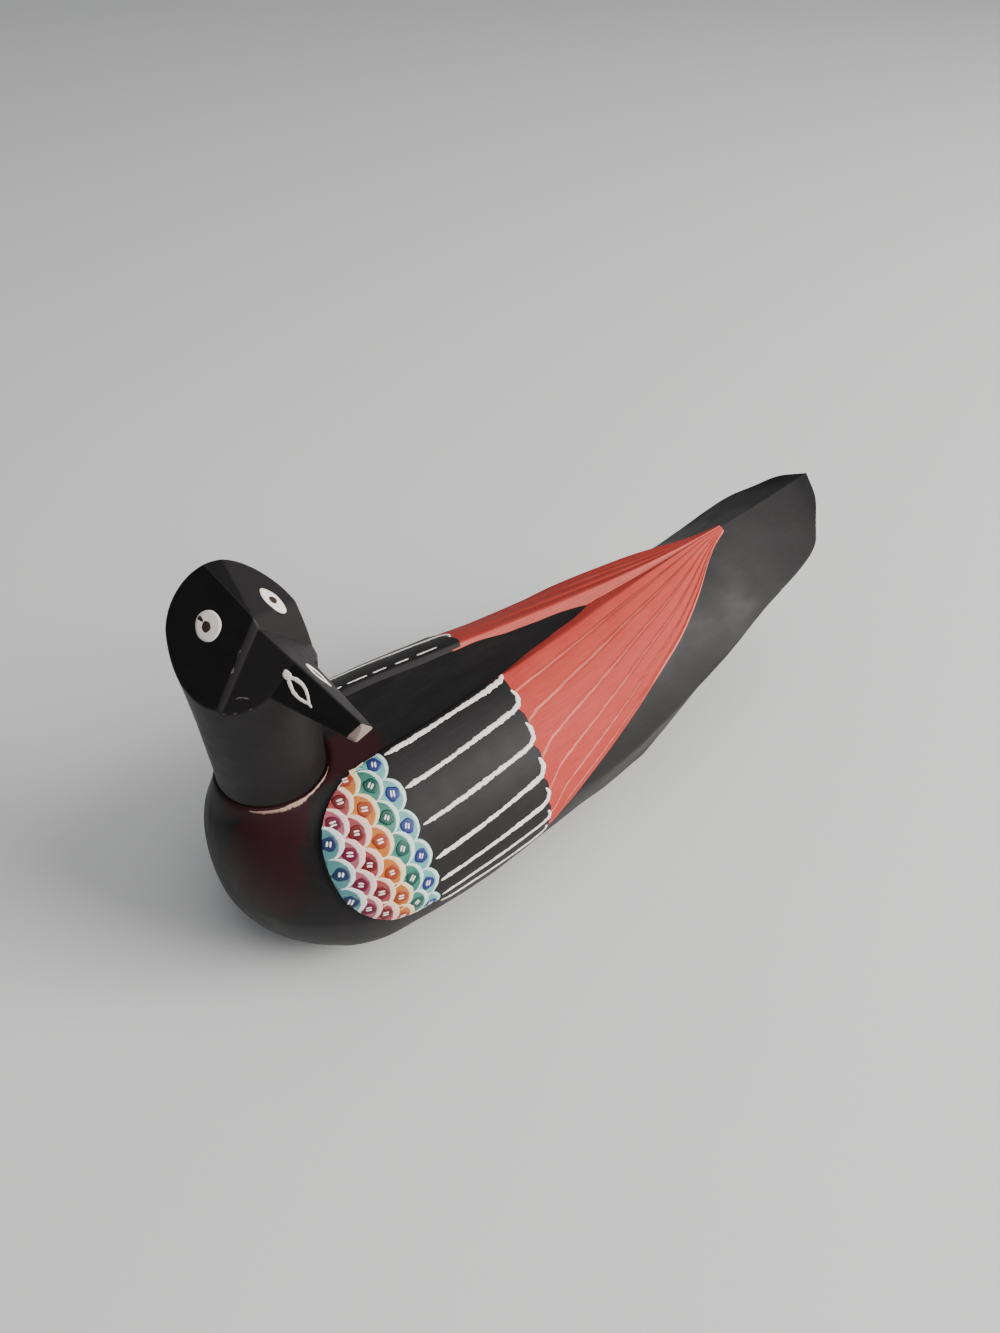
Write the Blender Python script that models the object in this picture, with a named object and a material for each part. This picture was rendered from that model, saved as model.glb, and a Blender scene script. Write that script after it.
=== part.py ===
"""A carved and painted wooden bird that sits on its flat belly and looks back over its left wing.

It is made of two pieces of wood: the body, with the folded wings and the tail, and the head with its
neck and beak, which stands in a shallow round seat on the breast.

Lengths are in metres. +Y runs from the breast to the tail, +X to the bird's left and +Z up. The table
is at Z = 0, and the origin is on it, under the middle of the bird.

The body is a free form, so its profiles are shares of its length. A place on its skin is given by the
share of the length, and by the girth: -1 at the middle of the back, 0 at the ridge of a folded wing,
1 at the widest line, 2 at the edge of the flat belly and 3 at the middle of the belly.
"""

import bpy
import bmesh
import numpy as np
from mathutils import Matrix, Vector

# Body
LENGTH = 0.250
BREAST_RADIUS_SHARE = 0.164
BREAST_FULLNESS = 3.8
BREAST_PARING = 0.79

# Neck seat and head
SEAT_SHARE = 0.28
SEAT_GAP = 0.0003
SEAT_FLARE = 0.0027
SEAT_DROP = 0.0092
SEAT_STOCK = 0.0005
NECK_RADIUS = 0.0158
NECK_BACK_SHARE = -0.4088
NECK_SIDE_SHARE = -0.0064
NECK_COLLAR = 0.004
HEAD_TURN = 106.0
SKULL_RADIUS = 0.0191
SKULL_CENTRE = 0.0505
SKULL_RISE = 0.0187
SKULL_LEAN = (0.0, -0.00025)
BEAK_REACH = 0.0395
SEAT_HEIGHT = SEAT_SHARE * LENGTH

# Wings
WING_RELIEF = 0.0019
COVERT_ROOT = 0.0024
PRIMARY_ROOT = 0.0034
FOOT_SINK = 0.2
NEAR_RIDGE = 0.02
STRAIGHT_DOWN = 0.3
EDGE_RELIEF = 0.0011
TIP_RELIEF = 0.0007
FEATHER_STEP = 0.0006
COVERT_STEP = 0.0005

# Profiles of the body, as (share of the length along it, value as a share of the length)
BREAST_AT = -0.336
TIP_AT = 0.312
BELLY_END = (0.142, 0.164)
HALF_WIDTH = ((-0.336, 0.164), (-0.224, 0.1624), (-0.116, 0.1568), (0.0, 0.1504), (0.08, 0.144),
              (0.216, 0.122), (0.32, 0.1048), (0.416, 0.092), (0.438, 0.084), (0.46, 0.062),
              (0.482, 0.037), (0.5, 0.0))
WIDEST_HEIGHT = ((-0.336, 0.144), (-0.116, 0.148), (-0.02, 0.146), (0.04, 0.152), (0.084, 0.164),
                 (0.216, 0.1892), (0.32, 0.226), (0.42, 0.264), (0.44, 0.2744), (0.46, 0.292),
                 (0.482, 0.3135), (0.5, 0.33))
RIDGE_OFFSET = ((-0.336, 0.056), (-0.296, 0.056), (-0.1148, 0.040), (0.318, 0.0), (0.5, 0.0))
RIDGE_HEIGHT = ((-0.336, 0.283), (-0.296, 0.284), (-0.1148, 0.2852), (0.08, 0.292), (0.318, 0.308),
                (0.5, 0.33))
VALLEY_DEPTH = ((-0.336, -0.003), (-0.296, 0.0), (-0.2, 0.0024), (0.24, 0.0024), (0.318, 0.0), (0.5, 0.0))
BELLY_HALF_WIDTH = ((-0.336, 0.0784), (-0.24, 0.086), (-0.068, 0.084), (0.036, 0.080), (0.142, 0.066))
TAIL_EDGE = 0.0048

# Roundness of the skin, as the tangent of a quarter of the angle that it turns through
CROWN_ROUNDNESS = ((-0.5, 0.20), (-0.336, 0.32), (-0.224, 0.32), (-0.116, 0.31), (-0.04, 0.29), (0.08, 0.28),
                   (0.20, 0.23), (0.32, 0.03), (0.5, 0.0))
FLANK_ROUNDNESS = ((-0.336, 0.225), (-0.224, 0.22), (-0.116, 0.15), (0.0, 0.04), (0.08, 0.0))

# Wing outlines, as shares of the length along the body and girths across it
PATCH_AT = -0.30
PATCH_REACH = 0.114
PATCH_GIRTH = 0.62
WING_GIRTH = ((-0.42, 1.24), (-0.28, 1.24), (-0.124, 1.19))
COVERTS_END = (-0.112, -0.018)
COVERT_BORDERS = (0.0, 0.21, 0.42, 0.60, 0.75, 0.87, 1.0)
COVERT_ROUND = 0.006
COVERT_EDGE = 0.25
COVERT_OVERLAP = 0.012
REAR_EDGE = ((-0.14, 1.19), (-0.123, 1.17), (-0.10, 1.04), (-0.072, 0.96), (0.0, 0.80), (0.067, 0.69),
             (0.108, 0.63), (0.153, 0.56), (0.22, 0.39), (0.294, 0.13), (0.318, 0.06))
PRIMARY_BORDERS = (0.0, 0.12, 0.29, 0.49, 0.67, 0.83, 0.94, 1.0)
PRIMARY_LIP = 0.06
PRIMARY_FADE = 0.1
COVERT_FOOT = ((-0.42, -0.14), (-0.1, -0.14))
PRIMARY_FOOT = ((-0.15, -0.19), (-0.1148, -0.19), (-0.024, -0.65), (0.08, -0.95), (0.15, -0.95),
                (0.18, -1.25), (0.28, -1.6), (0.312, -3.0))

# Head, as shares of the neck's height up to the skull's centre and of the skull's radius
NECK_SWELL = ((0.0, 0.82), (0.10, 0.824), (0.30, 0.848), (0.50, 0.877), (0.75, 0.932), (1.0, 1.0))
# Knife cuts that meet at the brow: (forward, left, up) of each cut's normal. Points are (forward, left,
# up) from the skull's centre, in shares of the skull's radius
BROW = (0.306, 0.0, 0.362)
CHEEK_CUTS = ((0.20, -0.72, 0.66), (0.46, 0.50, 0.735), (0.387, 0.157, 0.907))
BEAK_TOP = (0.368, 0.0, 0.218)
BEAK_DROP = 0.43
BEAK_BASE = (0.571, 0.484)
BEAK_TIP = (0.165, 0.175)
BEAK_UNDER = 0.03
BEAK_TIP_CUT = (0.90, 0.05, 0.42)
BEAK_ROOT = 0.1
BEAK_LAP = 0.01
CUT_REACH = 2.0
CUT_HEIGHT = 3.0

# Fineness of the faceted skin
BREAST_ROWS = 14
BACK_ROWS = 17
TAIL_ROWS = 12
VALLEY_COLUMNS = 2
CROWN_COLUMNS = 9
FLANK_COLUMNS = 6
COVERT_ROWS = 8
COVERT_COLUMNS = 3
PRIMARY_ROWS = 14
NECK_SIDES = 40
DOME_ROWS = 8

BLACK_PAINT = (0.022, 0.020, 0.020, 1.0)


def clear_scene():
    """Remove every object that the file opened with."""
    for old in list(bpy.data.objects):
        bpy.data.objects.remove(old, do_unlink=True)


def painted(name, colour, roughness):
    """A plain painted-wood material."""
    material = bpy.data.materials.new(name)
    material.use_nodes = True
    shader = material.node_tree.nodes["Principled BSDF"]
    shader.inputs["Base Color"].default_value = colour
    shader.inputs["Roughness"].default_value = roughness
    shader.inputs["Metallic"].default_value = 0.0
    return material


def profile(along, stations):
    """A smooth curve through (place, value) stations that never overshoots them."""
    place, value = np.array(stations, dtype=float).T
    step = np.diff(place)
    slope = np.diff(value) / step
    tangent = np.concatenate([slope[:1], np.zeros(len(place) - 2), slope[-1:]])
    before, after = slope[:-1], slope[1:]
    rising = before * after > 0
    weight_a, weight_b = 2 * step[1:] + step[:-1], step[1:] + 2 * step[:-1]
    safe_a, safe_b = np.where(rising, before, 1.0), np.where(rising, after, 1.0)
    tangent[1:-1] = np.where(rising, (weight_a + weight_b) / (weight_a / safe_a + weight_b / safe_b), 0.0)
    along = np.asarray(along, dtype=float)
    i = np.clip(np.searchsorted(place, along) - 1, 0, len(place) - 2)
    t = np.clip((along - place[i]) / step[i], 0.0, 1.0)
    ends = (1 + 2 * t) * (1 - t) ** 2 * value[i] + t * t * (3 - 2 * t) * value[i + 1]
    return ends + step[i] * (t * (1 - t) ** 2 * tangent[i] + t * t * (t - 1) * tangent[i + 1])


def arc(start, end, roundness, t):
    """Points of a circular arc from start to end that bulges to the left of its way."""
    half = 2 * np.arctan(roundness) + 1e-6
    turn = (2 * t - 1) * half
    along = np.sin(turn) / np.sin(half)
    rise = (np.cos(turn) - np.cos(half)) / np.sin(half)
    middle = [(start[k] + end[k]) / 2 for k in (0, 1)]
    reach = [(end[k] - start[k]) / 2 for k in (0, 1)]
    return middle[0] + reach[0] * along - reach[1] * rise, middle[1] + reach[1] * along + reach[0] * rise


def skin(along, girth):
    """Points of the body's left half, in metres, by share of the length and girth."""
    along, girth = np.broadcast_arrays(np.asarray(along, float), np.asarray(girth, float))
    inside = along < BREAST_AT
    back = np.round((BREAST_AT - np.minimum(along, BREAST_AT)) / BREAST_RADIUS_SHARE, 9)
    ball = np.sqrt(np.clip(1 - back ** 2, 0, None))
    top = np.clip(1 - back ** BREAST_FULLNESS, 0, None) ** (1 / BREAST_FULLNESS)
    wide = profile(along, HALF_WIDTH) * np.where(inside, ball, 1.0)
    wide_z = profile(along, WIDEST_HEIGHT)
    foot = profile(along, RIDGE_OFFSET) * np.where(inside, ball, 1.0)
    foot_z = wide_z + (profile(along, RIDGE_HEIGHT) - wide_z) * np.where(inside, top, 1.0)
    valley_z = foot_z - profile(along, VALLEY_DEPTH) * np.where(inside, top, 1.0)

    radius = BREAST_RADIUS_SHARE * ball
    cut = np.sqrt(np.clip(radius ** 2 - wide_z ** 2, 0, None))
    belly = np.where(inside, cut, profile(along, BELLY_HALF_WIDTH))
    belly_z = np.where(inside, np.clip(wide_z - radius, 0, None), 0.0)
    turned = np.arccos(np.clip(cut / np.maximum(radius, 1e-9), -1, 1))
    flank = np.where(inside, np.tan(turned / 4) * BREAST_PARING, profile(along, FLANK_ROUNDNESS))
    lift = np.clip((along - BELLY_END[0]) / (BELLY_END[1] - BELLY_END[0]), 0, 1)
    belly = belly * (1 - lift) + np.maximum(wide - TAIL_EDGE, 0) * lift
    belly_z = belly_z * (1 - lift) + (wide_z - TAIL_EDGE) * lift

    crown = arc((foot, foot_z), (wide, wide_z), profile(along, CROWN_ROUNDNESS), np.clip(girth, 0, 1))
    side = arc((wide, wide_z), (belly, belly_z), flank, np.clip(girth - 1, 0, 1))
    t = np.minimum(girth + 1, 1)
    valley = foot * t, valley_z * (1 - t) + foot_z * t
    under = belly * (1 - np.clip(girth - 2, 0, 1)), belly_z
    x, z = (np.select([girth < 0, girth <= 1, girth <= 2], [valley[k], crown[k], side[k]], under[k])
            for k in (0, 1))
    return np.stack([x, along, z], -1) * LENGTH


def outward(along, girth):
    """Unit normals of the skin, from differences a thousandth apart."""
    step = 0.001
    down = skin(along, girth + step) - skin(along, girth - step)
    back = skin(along + step, girth) - skin(along - step, girth)
    normal = np.cross(down, back)
    return normal / np.maximum(np.linalg.norm(normal, axis=-1, keepdims=True), 1e-12)


def grid_faces(rows, columns, flip=False):
    """Quads of a grid of points, row by row."""
    index = np.arange(rows * columns).reshape(rows, columns)
    quads = np.stack([index[:-1, :-1], index[:-1, 1:], index[1:, 1:], index[1:, :-1]], -1).reshape(-1, 4)
    return quads[:, ::-1] if flip else quads


def closed_mesh(name, points, faces):
    """A mesh object from points and faces, with doubles merged and faces pointing out."""
    mesh = bpy.data.meshes.new(name)
    mesh.from_pydata(points.tolist(), [], faces)
    shape = bmesh.new()
    shape.from_mesh(mesh)
    bmesh.ops.remove_doubles(shape, verts=shape.verts, dist=1e-6)
    bmesh.ops.dissolve_degenerate(shape, edges=shape.edges, dist=1e-7)
    bmesh.ops.recalc_face_normals(shape, faces=shape.faces)
    if shape.calc_volume(signed=True) < 0:
        bmesh.ops.reverse_faces(shape, faces=shape.faces)
    shape.to_mesh(mesh)
    shape.free()
    thing = bpy.data.objects.new(name, mesh)
    bpy.context.collection.objects.link(thing)
    return thing


def boolean(target, tool, operation):
    """Join a tool to the target, or cut it away, and keep the tool as a hidden guide."""
    modifier = target.modifiers.new(tool.name, 'BOOLEAN')
    modifier.operation = operation
    modifier.solver = 'EXACT'
    modifier.object = tool
    tool.hide_render = True
    tool.display_type = 'WIRE'


def body_blank():
    """The body without its wings: rings of skin along the length, closed at the breast and the tail."""
    breast = BREAST_AT - BREAST_RADIUS_SHARE * np.cos(np.linspace(0, np.pi / 2, BREAST_ROWS))
    back = np.linspace(BREAST_AT, BELLY_END[0], BACK_ROWS)[1:]
    tail = np.linspace(BELLY_END[1], HALF_WIDTH[-4][0], TAIL_ROWS)
    end = [station[0] for station in HALF_WIDTH[-3:]]
    rows = np.concatenate([breast, back, tail, end])
    girths = np.concatenate([np.linspace(-1, 0, VALLEY_COLUMNS, endpoint=False),
                             np.linspace(0, 1, CROWN_COLUMNS, endpoint=False),
                             np.linspace(1, 2, FLANK_COLUMNS, endpoint=False), [2.0, 3.0]])
    along, girth = np.meshgrid(rows, girths, indexing='ij')
    left = skin(along, girth)
    right = left[:, ::-1] * (-1, 1, 1)
    ring = np.concatenate([left, right], axis=1)
    faces = grid_faces(*ring.shape[:2])
    return closed_mesh("body", ring.reshape(-1, 3), faces.tolist())


def slab(name, top, under, side):
    """A closed plate between two grids of points, on one side of the bird."""
    rows, columns = top.shape[:2]
    count = rows * columns
    points = np.concatenate([top.reshape(-1, 3), under.reshape(-1, 3)]) * (side, 1, 1)
    faces = grid_faces(rows, columns).tolist() + (grid_faces(rows, columns, flip=True) + count).tolist()
    index = np.arange(count).reshape(rows, columns)
    rim = np.concatenate([index[0], index[1:, -1], index[-1, -2::-1], index[-2:0:-1, 0]])
    after = np.roll(rim, -1)
    faces += np.stack([rim, after, after + count, rim + count], -1).tolist()
    return closed_mesh(name, points, faces)


def wing_plate(name, along, girth, relief, foot_line, root, side):
    """A wing plate: its top stands off the skin by the relief, and its root is sunk in the body.

    The inner edge runs along the foot line, a little below the skin, so that the top leaves the back as
    a bevel. Near it the root goes straight down, and further out it goes in square to the skin.
    """
    foot = profile(along[:, :1], foot_line)
    along = np.concatenate([along[:, :1], along], axis=1)
    girth = np.concatenate([foot, girth], axis=1)
    relief = np.concatenate([np.full_like(foot, -FOOT_SINK * root), relief], axis=1)
    place, normal = skin(along, girth), outward(along, np.maximum(girth, NEAR_RIDGE))
    steep = np.clip(girth / STRAIGHT_DOWN, 0, 1)[..., None]
    under = place - root * (normal * steep + np.array((0.0, 0.0, 1.0)) * (1 - steep))
    return slab(name, place + normal * relief[..., None], under, side)


def coverts(side):
    """The front of a wing: a rounded shoulder and six broad feathers with rounded ends."""
    borders = np.array(COVERT_BORDERS)
    across = np.concatenate([np.linspace(a, b, COVERT_COLUMNS, endpoint=False)
                             for a, b in zip(borders[:-1], borders[1:])] + [borders[-1:]])
    down, v = np.meshgrid(np.linspace(0, 1, COVERT_ROWS), across, indexing='ij')
    width = profile(PATCH_AT, WING_GIRTH)
    lean = np.sqrt(np.clip(1 - ((v * width - PATCH_GIRTH) / PATCH_GIRTH) ** 2, 0, None))
    front = PATCH_AT - PATCH_REACH * lean
    feather = np.clip(np.searchsorted(borders, v, side='right') - 1, 0, len(borders) - 2)
    share = (v - borders[feather]) / (borders[feather + 1] - borders[feather])
    end = COVERTS_END[0] + COVERTS_END[1] * v - COVERT_ROUND * share ** 3
    along = front + (end - front) * down
    girth = v * profile(along, WING_GIRTH)
    relief = EDGE_RELIEF + (WING_RELIEF - EDGE_RELIEF) * np.minimum(down / COVERT_EDGE, 1)
    return wing_plate("coverts", along, girth, relief, COVERT_FOOT, COVERT_ROOT, side)


def primaries(side):
    """The long feathers: a fan of stepped facets that runs together at the wing's tip."""
    across, height = [0.0], [1.0]
    for a, b in zip(PRIMARY_BORDERS[:-1], PRIMARY_BORDERS[1:]):
        across += [a + PRIMARY_LIP * (b - a), b]
        height += [1.0, 0.0]
    down, v = np.meshgrid(np.linspace(0, 1, PRIMARY_ROWS), across, indexing='ij')
    start = COVERTS_END[0] + COVERTS_END[1] * v - COVERT_OVERLAP
    along = start + (TIP_AT - start) * down
    girth = v * profile(along, REAR_EDGE)
    swell = WING_RELIEF - COVERT_STEP + (TIP_RELIEF - WING_RELIEF + COVERT_STEP) * down ** 2
    step = FEATHER_STEP * np.sqrt(np.sin(np.pi * np.clip((down - PRIMARY_FADE) / (1 - PRIMARY_FADE), 0, 1)))
    relief = swell - step * (1 - np.array(height)) * np.ones_like(down)
    return wing_plate("primaries", along, girth, relief, PRIMARY_FOOT, PRIMARY_ROOT, side)


def build_body():
    """Carve the body: the blank, four wing plates joined to it, and the round seat for the neck.

    The seat is cut flat where the back is higher than it, and a low flared collar carries it where the
    breast falls away.
    """
    body = body_blank()
    for side in (1, -1):
        boolean(body, primaries(side), 'UNION')
        boolean(body, coverts(side), 'UNION')
    bpy.ops.mesh.primitive_cone_add(vertices=NECK_SIDES, radius1=NECK_RADIUS + SEAT_FLARE,
                                    radius2=NECK_RADIUS, depth=SEAT_DROP + SEAT_STOCK)
    collar = bpy.context.object
    collar.name = "seat collar"
    collar.location = neck_axis() + Vector((0, 0, SEAT_HEIGHT + (SEAT_STOCK - SEAT_DROP) / 2))
    boolean(body, collar, 'UNION')
    bpy.ops.mesh.primitive_cylinder_add(vertices=NECK_SIDES, radius=NECK_RADIUS + 2 * SEAT_GAP,
                                        depth=SEAT_HEIGHT)
    pocket = bpy.context.object
    pocket.name = "neck seat"
    pocket.location = neck_axis() + Vector((0, 0, SEAT_HEIGHT * 1.5))
    boolean(body, pocket, 'DIFFERENCE')
    body.data.materials.append(painted("black painted wood", BLACK_PAINT, 0.45))
    return body


def neck_axis():
    """The foot of the neck's axis, on the table."""
    return Vector((NECK_SIDE_SHARE * LENGTH, NECK_BACK_SHARE * LENGTH, 0.0))


def head_blank():
    """The neck and the skull before the knife: a round column that swells upwards, under a dome."""
    up = np.linspace(0, 1, 7)
    dome = np.linspace(0, np.pi / 2, DOME_ROWS)[1:]
    height = np.concatenate([up * SKULL_CENTRE, SKULL_CENTRE + SKULL_RISE * np.sin(dome)])
    radius = SKULL_RADIUS * np.concatenate([profile(up, NECK_SWELL), np.cos(dome)])
    radius = np.minimum(radius, np.where(height < NECK_COLLAR, NECK_RADIUS, 1.0))
    around = np.arange(NECK_SIDES) / NECK_SIDES * 2 * np.pi
    lean = (np.minimum(height / SKULL_CENTRE, 1.0) ** 3)[:, None]
    rings = np.stack([radius[:, None] * np.cos(around) + SKULL_LEAN[0] * lean,
                      radius[:, None] * np.sin(around) + SKULL_LEAN[1] * lean,
                      height[:, None] + 0 * around], -1)
    ring = np.concatenate([rings, rings[:, :1]], axis=1)
    foot = np.zeros((1, NECK_SIDES + 1, 3))
    grid = np.concatenate([foot, ring])
    return closed_mesh("head", grid.reshape(-1, 3), grid_faces(*grid.shape[:2]).tolist())


def from_skull(point):
    """A point given in shares of the skull's radius, in the head's own frame."""
    return Vector(point) * SKULL_RADIUS + Vector((0, 0, SKULL_CENTRE))


def knife_cut(thing, normal, point):
    """Slice a mesh with a plane, drop what is in front of the plane and close the wound."""
    shape = bmesh.new()
    shape.from_mesh(thing.data)
    cut = bmesh.ops.bisect_plane(shape, geom=shape.verts[:] + shape.edges[:] + shape.faces[:], dist=1e-7,
                                 plane_co=from_skull(point), plane_no=Vector(normal), clear_outer=True)
    edges = [piece for piece in cut["geom_cut"] if isinstance(piece, bmesh.types.BMEdge)]
    bmesh.ops.contextual_create(shape, geom=edges)
    bmesh.ops.recalc_face_normals(shape, faces=shape.faces)
    shape.to_mesh(thing.data)
    shape.free()


def roof(name, stations, floor):
    """A bar with a roof-shaped section: (forward, ridge height, half width, eaves height) stations."""
    points = []
    for forward, ridge, half, eaves in stations:
        under = eaves - floor
        points += [(forward, 0, ridge), (forward, half, eaves), (forward, half, under),
                   (forward, -half, under), (forward, -half, eaves)]
    last = len(points) - 5
    faces = [(4, 3, 2, 1, 0), (last, last + 1, last + 2, last + 3, last + 4)]
    for base in range(0, last, 5):
        for k in range(5):
            after = (k + 1) % 5
            faces.append((base + k, base + after, base + 5 + after, base + 5 + k))
    return closed_mesh(name, np.array([from_skull(point) for point in points]), faces)


def build_head(body):
    """Carve the head: cheeks sliced flat, the face cut back over the beak, and the wedge of the beak."""
    head = head_blank()
    for normal in CHEEK_CUTS:
        knife_cut(head, normal, BROW)
    forward, _, ridge = BEAK_TOP
    reach = BEAK_REACH / SKULL_RADIUS
    slope = BEAK_BASE[1] / BEAK_BASE[0]
    fall = BEAK_DROP
    far = wide = CUT_REACH
    face = closed_mesh("face cut", np.array([from_skull(p) for p in (
        (forward, 0, ridge), (forward, wide, ridge - slope * wide), (forward, wide, CUT_HEIGHT),
        (forward, -wide, CUT_HEIGHT), (forward, -wide, ridge - slope * wide),
        (far, 0, ridge - fall * (far - forward)),
        (far, wide, ridge - slope * wide - fall * (far - forward)), (far, wide, CUT_HEIGHT),
        (far, -wide, CUT_HEIGHT), (far, -wide, ridge - slope * wide - fall * (far - forward)))]),
        [(4, 3, 2, 1, 0), (5, 6, 7, 8, 9), (0, 1, 6, 5), (1, 2, 7, 6), (2, 3, 8, 7), (3, 4, 9, 8),
         (4, 0, 5, 9)])
    boolean(head, face, 'DIFFERENCE')
    tip = ridge - fall * (reach - forward)
    root = ridge + fall * (forward - BEAK_ROOT) - BEAK_LAP
    beak = roof("beak", ((BEAK_ROOT, root, BEAK_BASE[0], ridge - BEAK_BASE[1]),
                         (reach, tip, BEAK_TIP[0], tip - BEAK_TIP[1])), BEAK_UNDER)
    knife_cut(beak, BEAK_TIP_CUT, (reach - BEAK_LAP, 0, tip))
    boolean(head, beak, 'UNION')
    turn = Matrix.Rotation(np.radians(HEAD_TURN - 90), 4, 'Z')
    place = Matrix.Translation(neck_axis() + Vector((0, 0, SEAT_HEIGHT + SEAT_GAP)))
    for piece in (head, face, beak):
        piece.matrix_world = place @ turn
    head.data.materials.append(painted("black painted head", BLACK_PAINT, 0.40))
    return head


def main():
    """Build the bird."""
    clear_scene()
    body = build_body()
    build_head(body)


main()
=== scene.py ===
"""Looks of a carved and painted wooden bird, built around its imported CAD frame.

The bird is a block of light wood painted black. Each folded wing has a patch of fish scales in rows of
colour, black coverts divided by white lines and a fan of coral flight feathers. The round neck stands
in a seat on the breast, and the head is cut with a few flat knife cuts.

Lengths are in millimetres until a mesh is made. +Y runs from the breast to the tail, +X to the bird's
left and +Z up, as in the frame. A place on the body is given by `along`, a share of the length, and by
`girth`: -1 at the middle of the back, 0 at the wing's ridge, 1 at the widest line, 2 at the edge of the
flat belly and 3 at its middle.
"""

import logging
import math
from dataclasses import dataclass
from enum import Enum
from typing import Callable, Sequence

import bmesh
import bpy
import numpy as np
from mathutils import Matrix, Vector

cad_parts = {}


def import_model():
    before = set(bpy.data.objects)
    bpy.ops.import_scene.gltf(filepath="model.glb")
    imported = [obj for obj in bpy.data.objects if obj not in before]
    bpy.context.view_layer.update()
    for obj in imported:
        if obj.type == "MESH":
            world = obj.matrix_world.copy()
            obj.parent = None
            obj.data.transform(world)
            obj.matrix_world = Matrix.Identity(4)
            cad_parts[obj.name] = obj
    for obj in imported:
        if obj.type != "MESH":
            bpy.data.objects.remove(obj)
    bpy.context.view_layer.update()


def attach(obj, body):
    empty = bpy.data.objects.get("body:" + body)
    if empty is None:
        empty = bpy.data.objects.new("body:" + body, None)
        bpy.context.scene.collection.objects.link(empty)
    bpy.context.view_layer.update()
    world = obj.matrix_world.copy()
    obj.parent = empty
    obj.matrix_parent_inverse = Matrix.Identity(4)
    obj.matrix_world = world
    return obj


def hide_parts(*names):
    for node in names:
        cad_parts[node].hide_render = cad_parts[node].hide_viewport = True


LOG = logging.getLogger("painted_bird")
MM = 0.001
# Points of a mesh that lie closer than this many millimetres are one
MERGE = 0.0002
# Stands for the distance to a plane that a ray doesn't reach
FAR = 90.0
# Millimetres that a girth of 1 measures on the wing
GIRTH = 46.0
Pair = tuple[float, float]
Triple = tuple[float, float, float]
Stations = Sequence[Pair]
Colour = Triple


class Side(Enum):
    """The two wings. The value is the sign of x."""

    LEFT = 1
    RIGHT = -1


# Curves and noise


def profile(along: np.ndarray, stations: Stations) -> np.ndarray:
    """A smooth curve through stations that never overshoots them.

    Between two stations the value is the cubic with harmonic-mean slopes at both ends; beyond the
    first and the last it stays level.

    Args:
        along: Places to read the curve at.
        stations: (place, value) pairs in rising order.

    Returns:
        The value at each place.
    """
    place, value = np.array(stations, dtype=float).T
    step = np.diff(place)
    slope = np.diff(value) / step
    tangent = np.concatenate([slope[:1], np.zeros(len(place) - 2), slope[-1:]])
    before, after = slope[:-1], slope[1:]
    rising = before * after > 0
    weight_a, weight_b = 2 * step[1:] + step[:-1], step[1:] + 2 * step[:-1]
    safe_a, safe_b = np.where(rising, before, 1.0), np.where(rising, after, 1.0)
    tangent[1:-1] = np.where(rising, (weight_a + weight_b) / (weight_a / safe_a + weight_b / safe_b), 0.0)
    along = np.asarray(along, dtype=float)
    i = np.clip(np.searchsorted(place, along) - 1, 0, len(place) - 2)
    t = np.clip((along - place[i]) / step[i], 0.0, 1.0)
    ends = (1 + 2 * t) * (1 - t) ** 2 * value[i] + t * t * (3 - 2 * t) * value[i + 1]
    return ends + step[i] * (t * (1 - t) ** 2 * tangent[i] + t * t * (t - 1) * tangent[i + 1])


def arc(start: tuple, end: tuple, roundness: np.ndarray, t: np.ndarray) -> tuple[np.ndarray, np.ndarray]:
    """Points of a circular arc that bulges to the left of its way.

    Args:
        start: (x, z) of the first point.
        end: (x, z) of the last point.
        roundness: Tangent of a quarter of the arc's angle.
        t: Share of the angle, 0 to 1.

    Returns:
        x and z of the points.
    """
    half = 2 * np.arctan(roundness) + 1e-6
    turn = (2 * t - 1) * half
    along = np.sin(turn) / np.sin(half)
    rise = (np.cos(turn) - np.cos(half)) / np.sin(half)
    middle = [(start[k] + end[k]) / 2 for k in (0, 1)]
    reach = [(end[k] - start[k]) / 2 for k in (0, 1)]
    return middle[0] + reach[0] * along - reach[1] * rise, middle[1] + reach[1] * along + reach[0] * rise


def soft_min(values: Sequence[np.ndarray], blend: float) -> np.ndarray:
    """The least of several values with its corners rounded: -blend * log(sum(exp(-value / blend))).

    Args:
        values: Arrays of one shape.
        blend: Width of the rounding, in the values' own unit.

    Returns:
        The blended minimum.
    """
    stack = np.stack(np.broadcast_arrays(*values))
    least = stack.min(axis=0)
    return least - blend * np.log(np.exp(-(stack - least) / blend).sum(axis=0))


def soft_max(values: Sequence[np.ndarray], blend: float) -> np.ndarray:
    """The greatest of several values with its corners rounded.

    Args:
        values: Arrays of one shape.
        blend: Width of the rounding.

    Returns:
        The blended maximum.
    """
    return -soft_min([-np.asarray(value) for value in values], blend)


def fade(value: np.ndarray, start: float, end: float) -> np.ndarray:
    """A smooth step from 0 at start to 1 at end: t * t * (3 - 2 * t).

    Args:
        value: Numbers to grade.
        start: Value that gives 0.
        end: Value that gives 1; it may lie below start.

    Returns:
        Numbers from 0 to 1.
    """
    t = np.clip((np.asarray(value) - start) / (end - start), 0.0, 1.0)
    return t * t * (3 - 2 * t)


def ripple(u: np.ndarray, v: np.ndarray, pace: float, phase: float) -> np.ndarray:
    """Even, repeatable unevenness: a third of the sum of six sine waves that run in different directions.

    Args:
        u: First place.
        v: Second place.
        pace: Waves per unit, times 2 pi.
        phase: Shift that makes one use differ from another.

    Returns:
        Numbers of about -1 to 1.
    """
    waves = ((1.0, 0.31), (-0.55, 0.83), (0.37, -1.27), (1.61, 0.72), (-1.13, 1.49), (2.31, -0.64))
    parts = [np.sin(pace * (a * u + b * v) + phase * (2.1 + k) + 1.3 * k * k)
             for k, (a, b) in enumerate(waves)]
    return sum(parts) / 3.0


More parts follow.
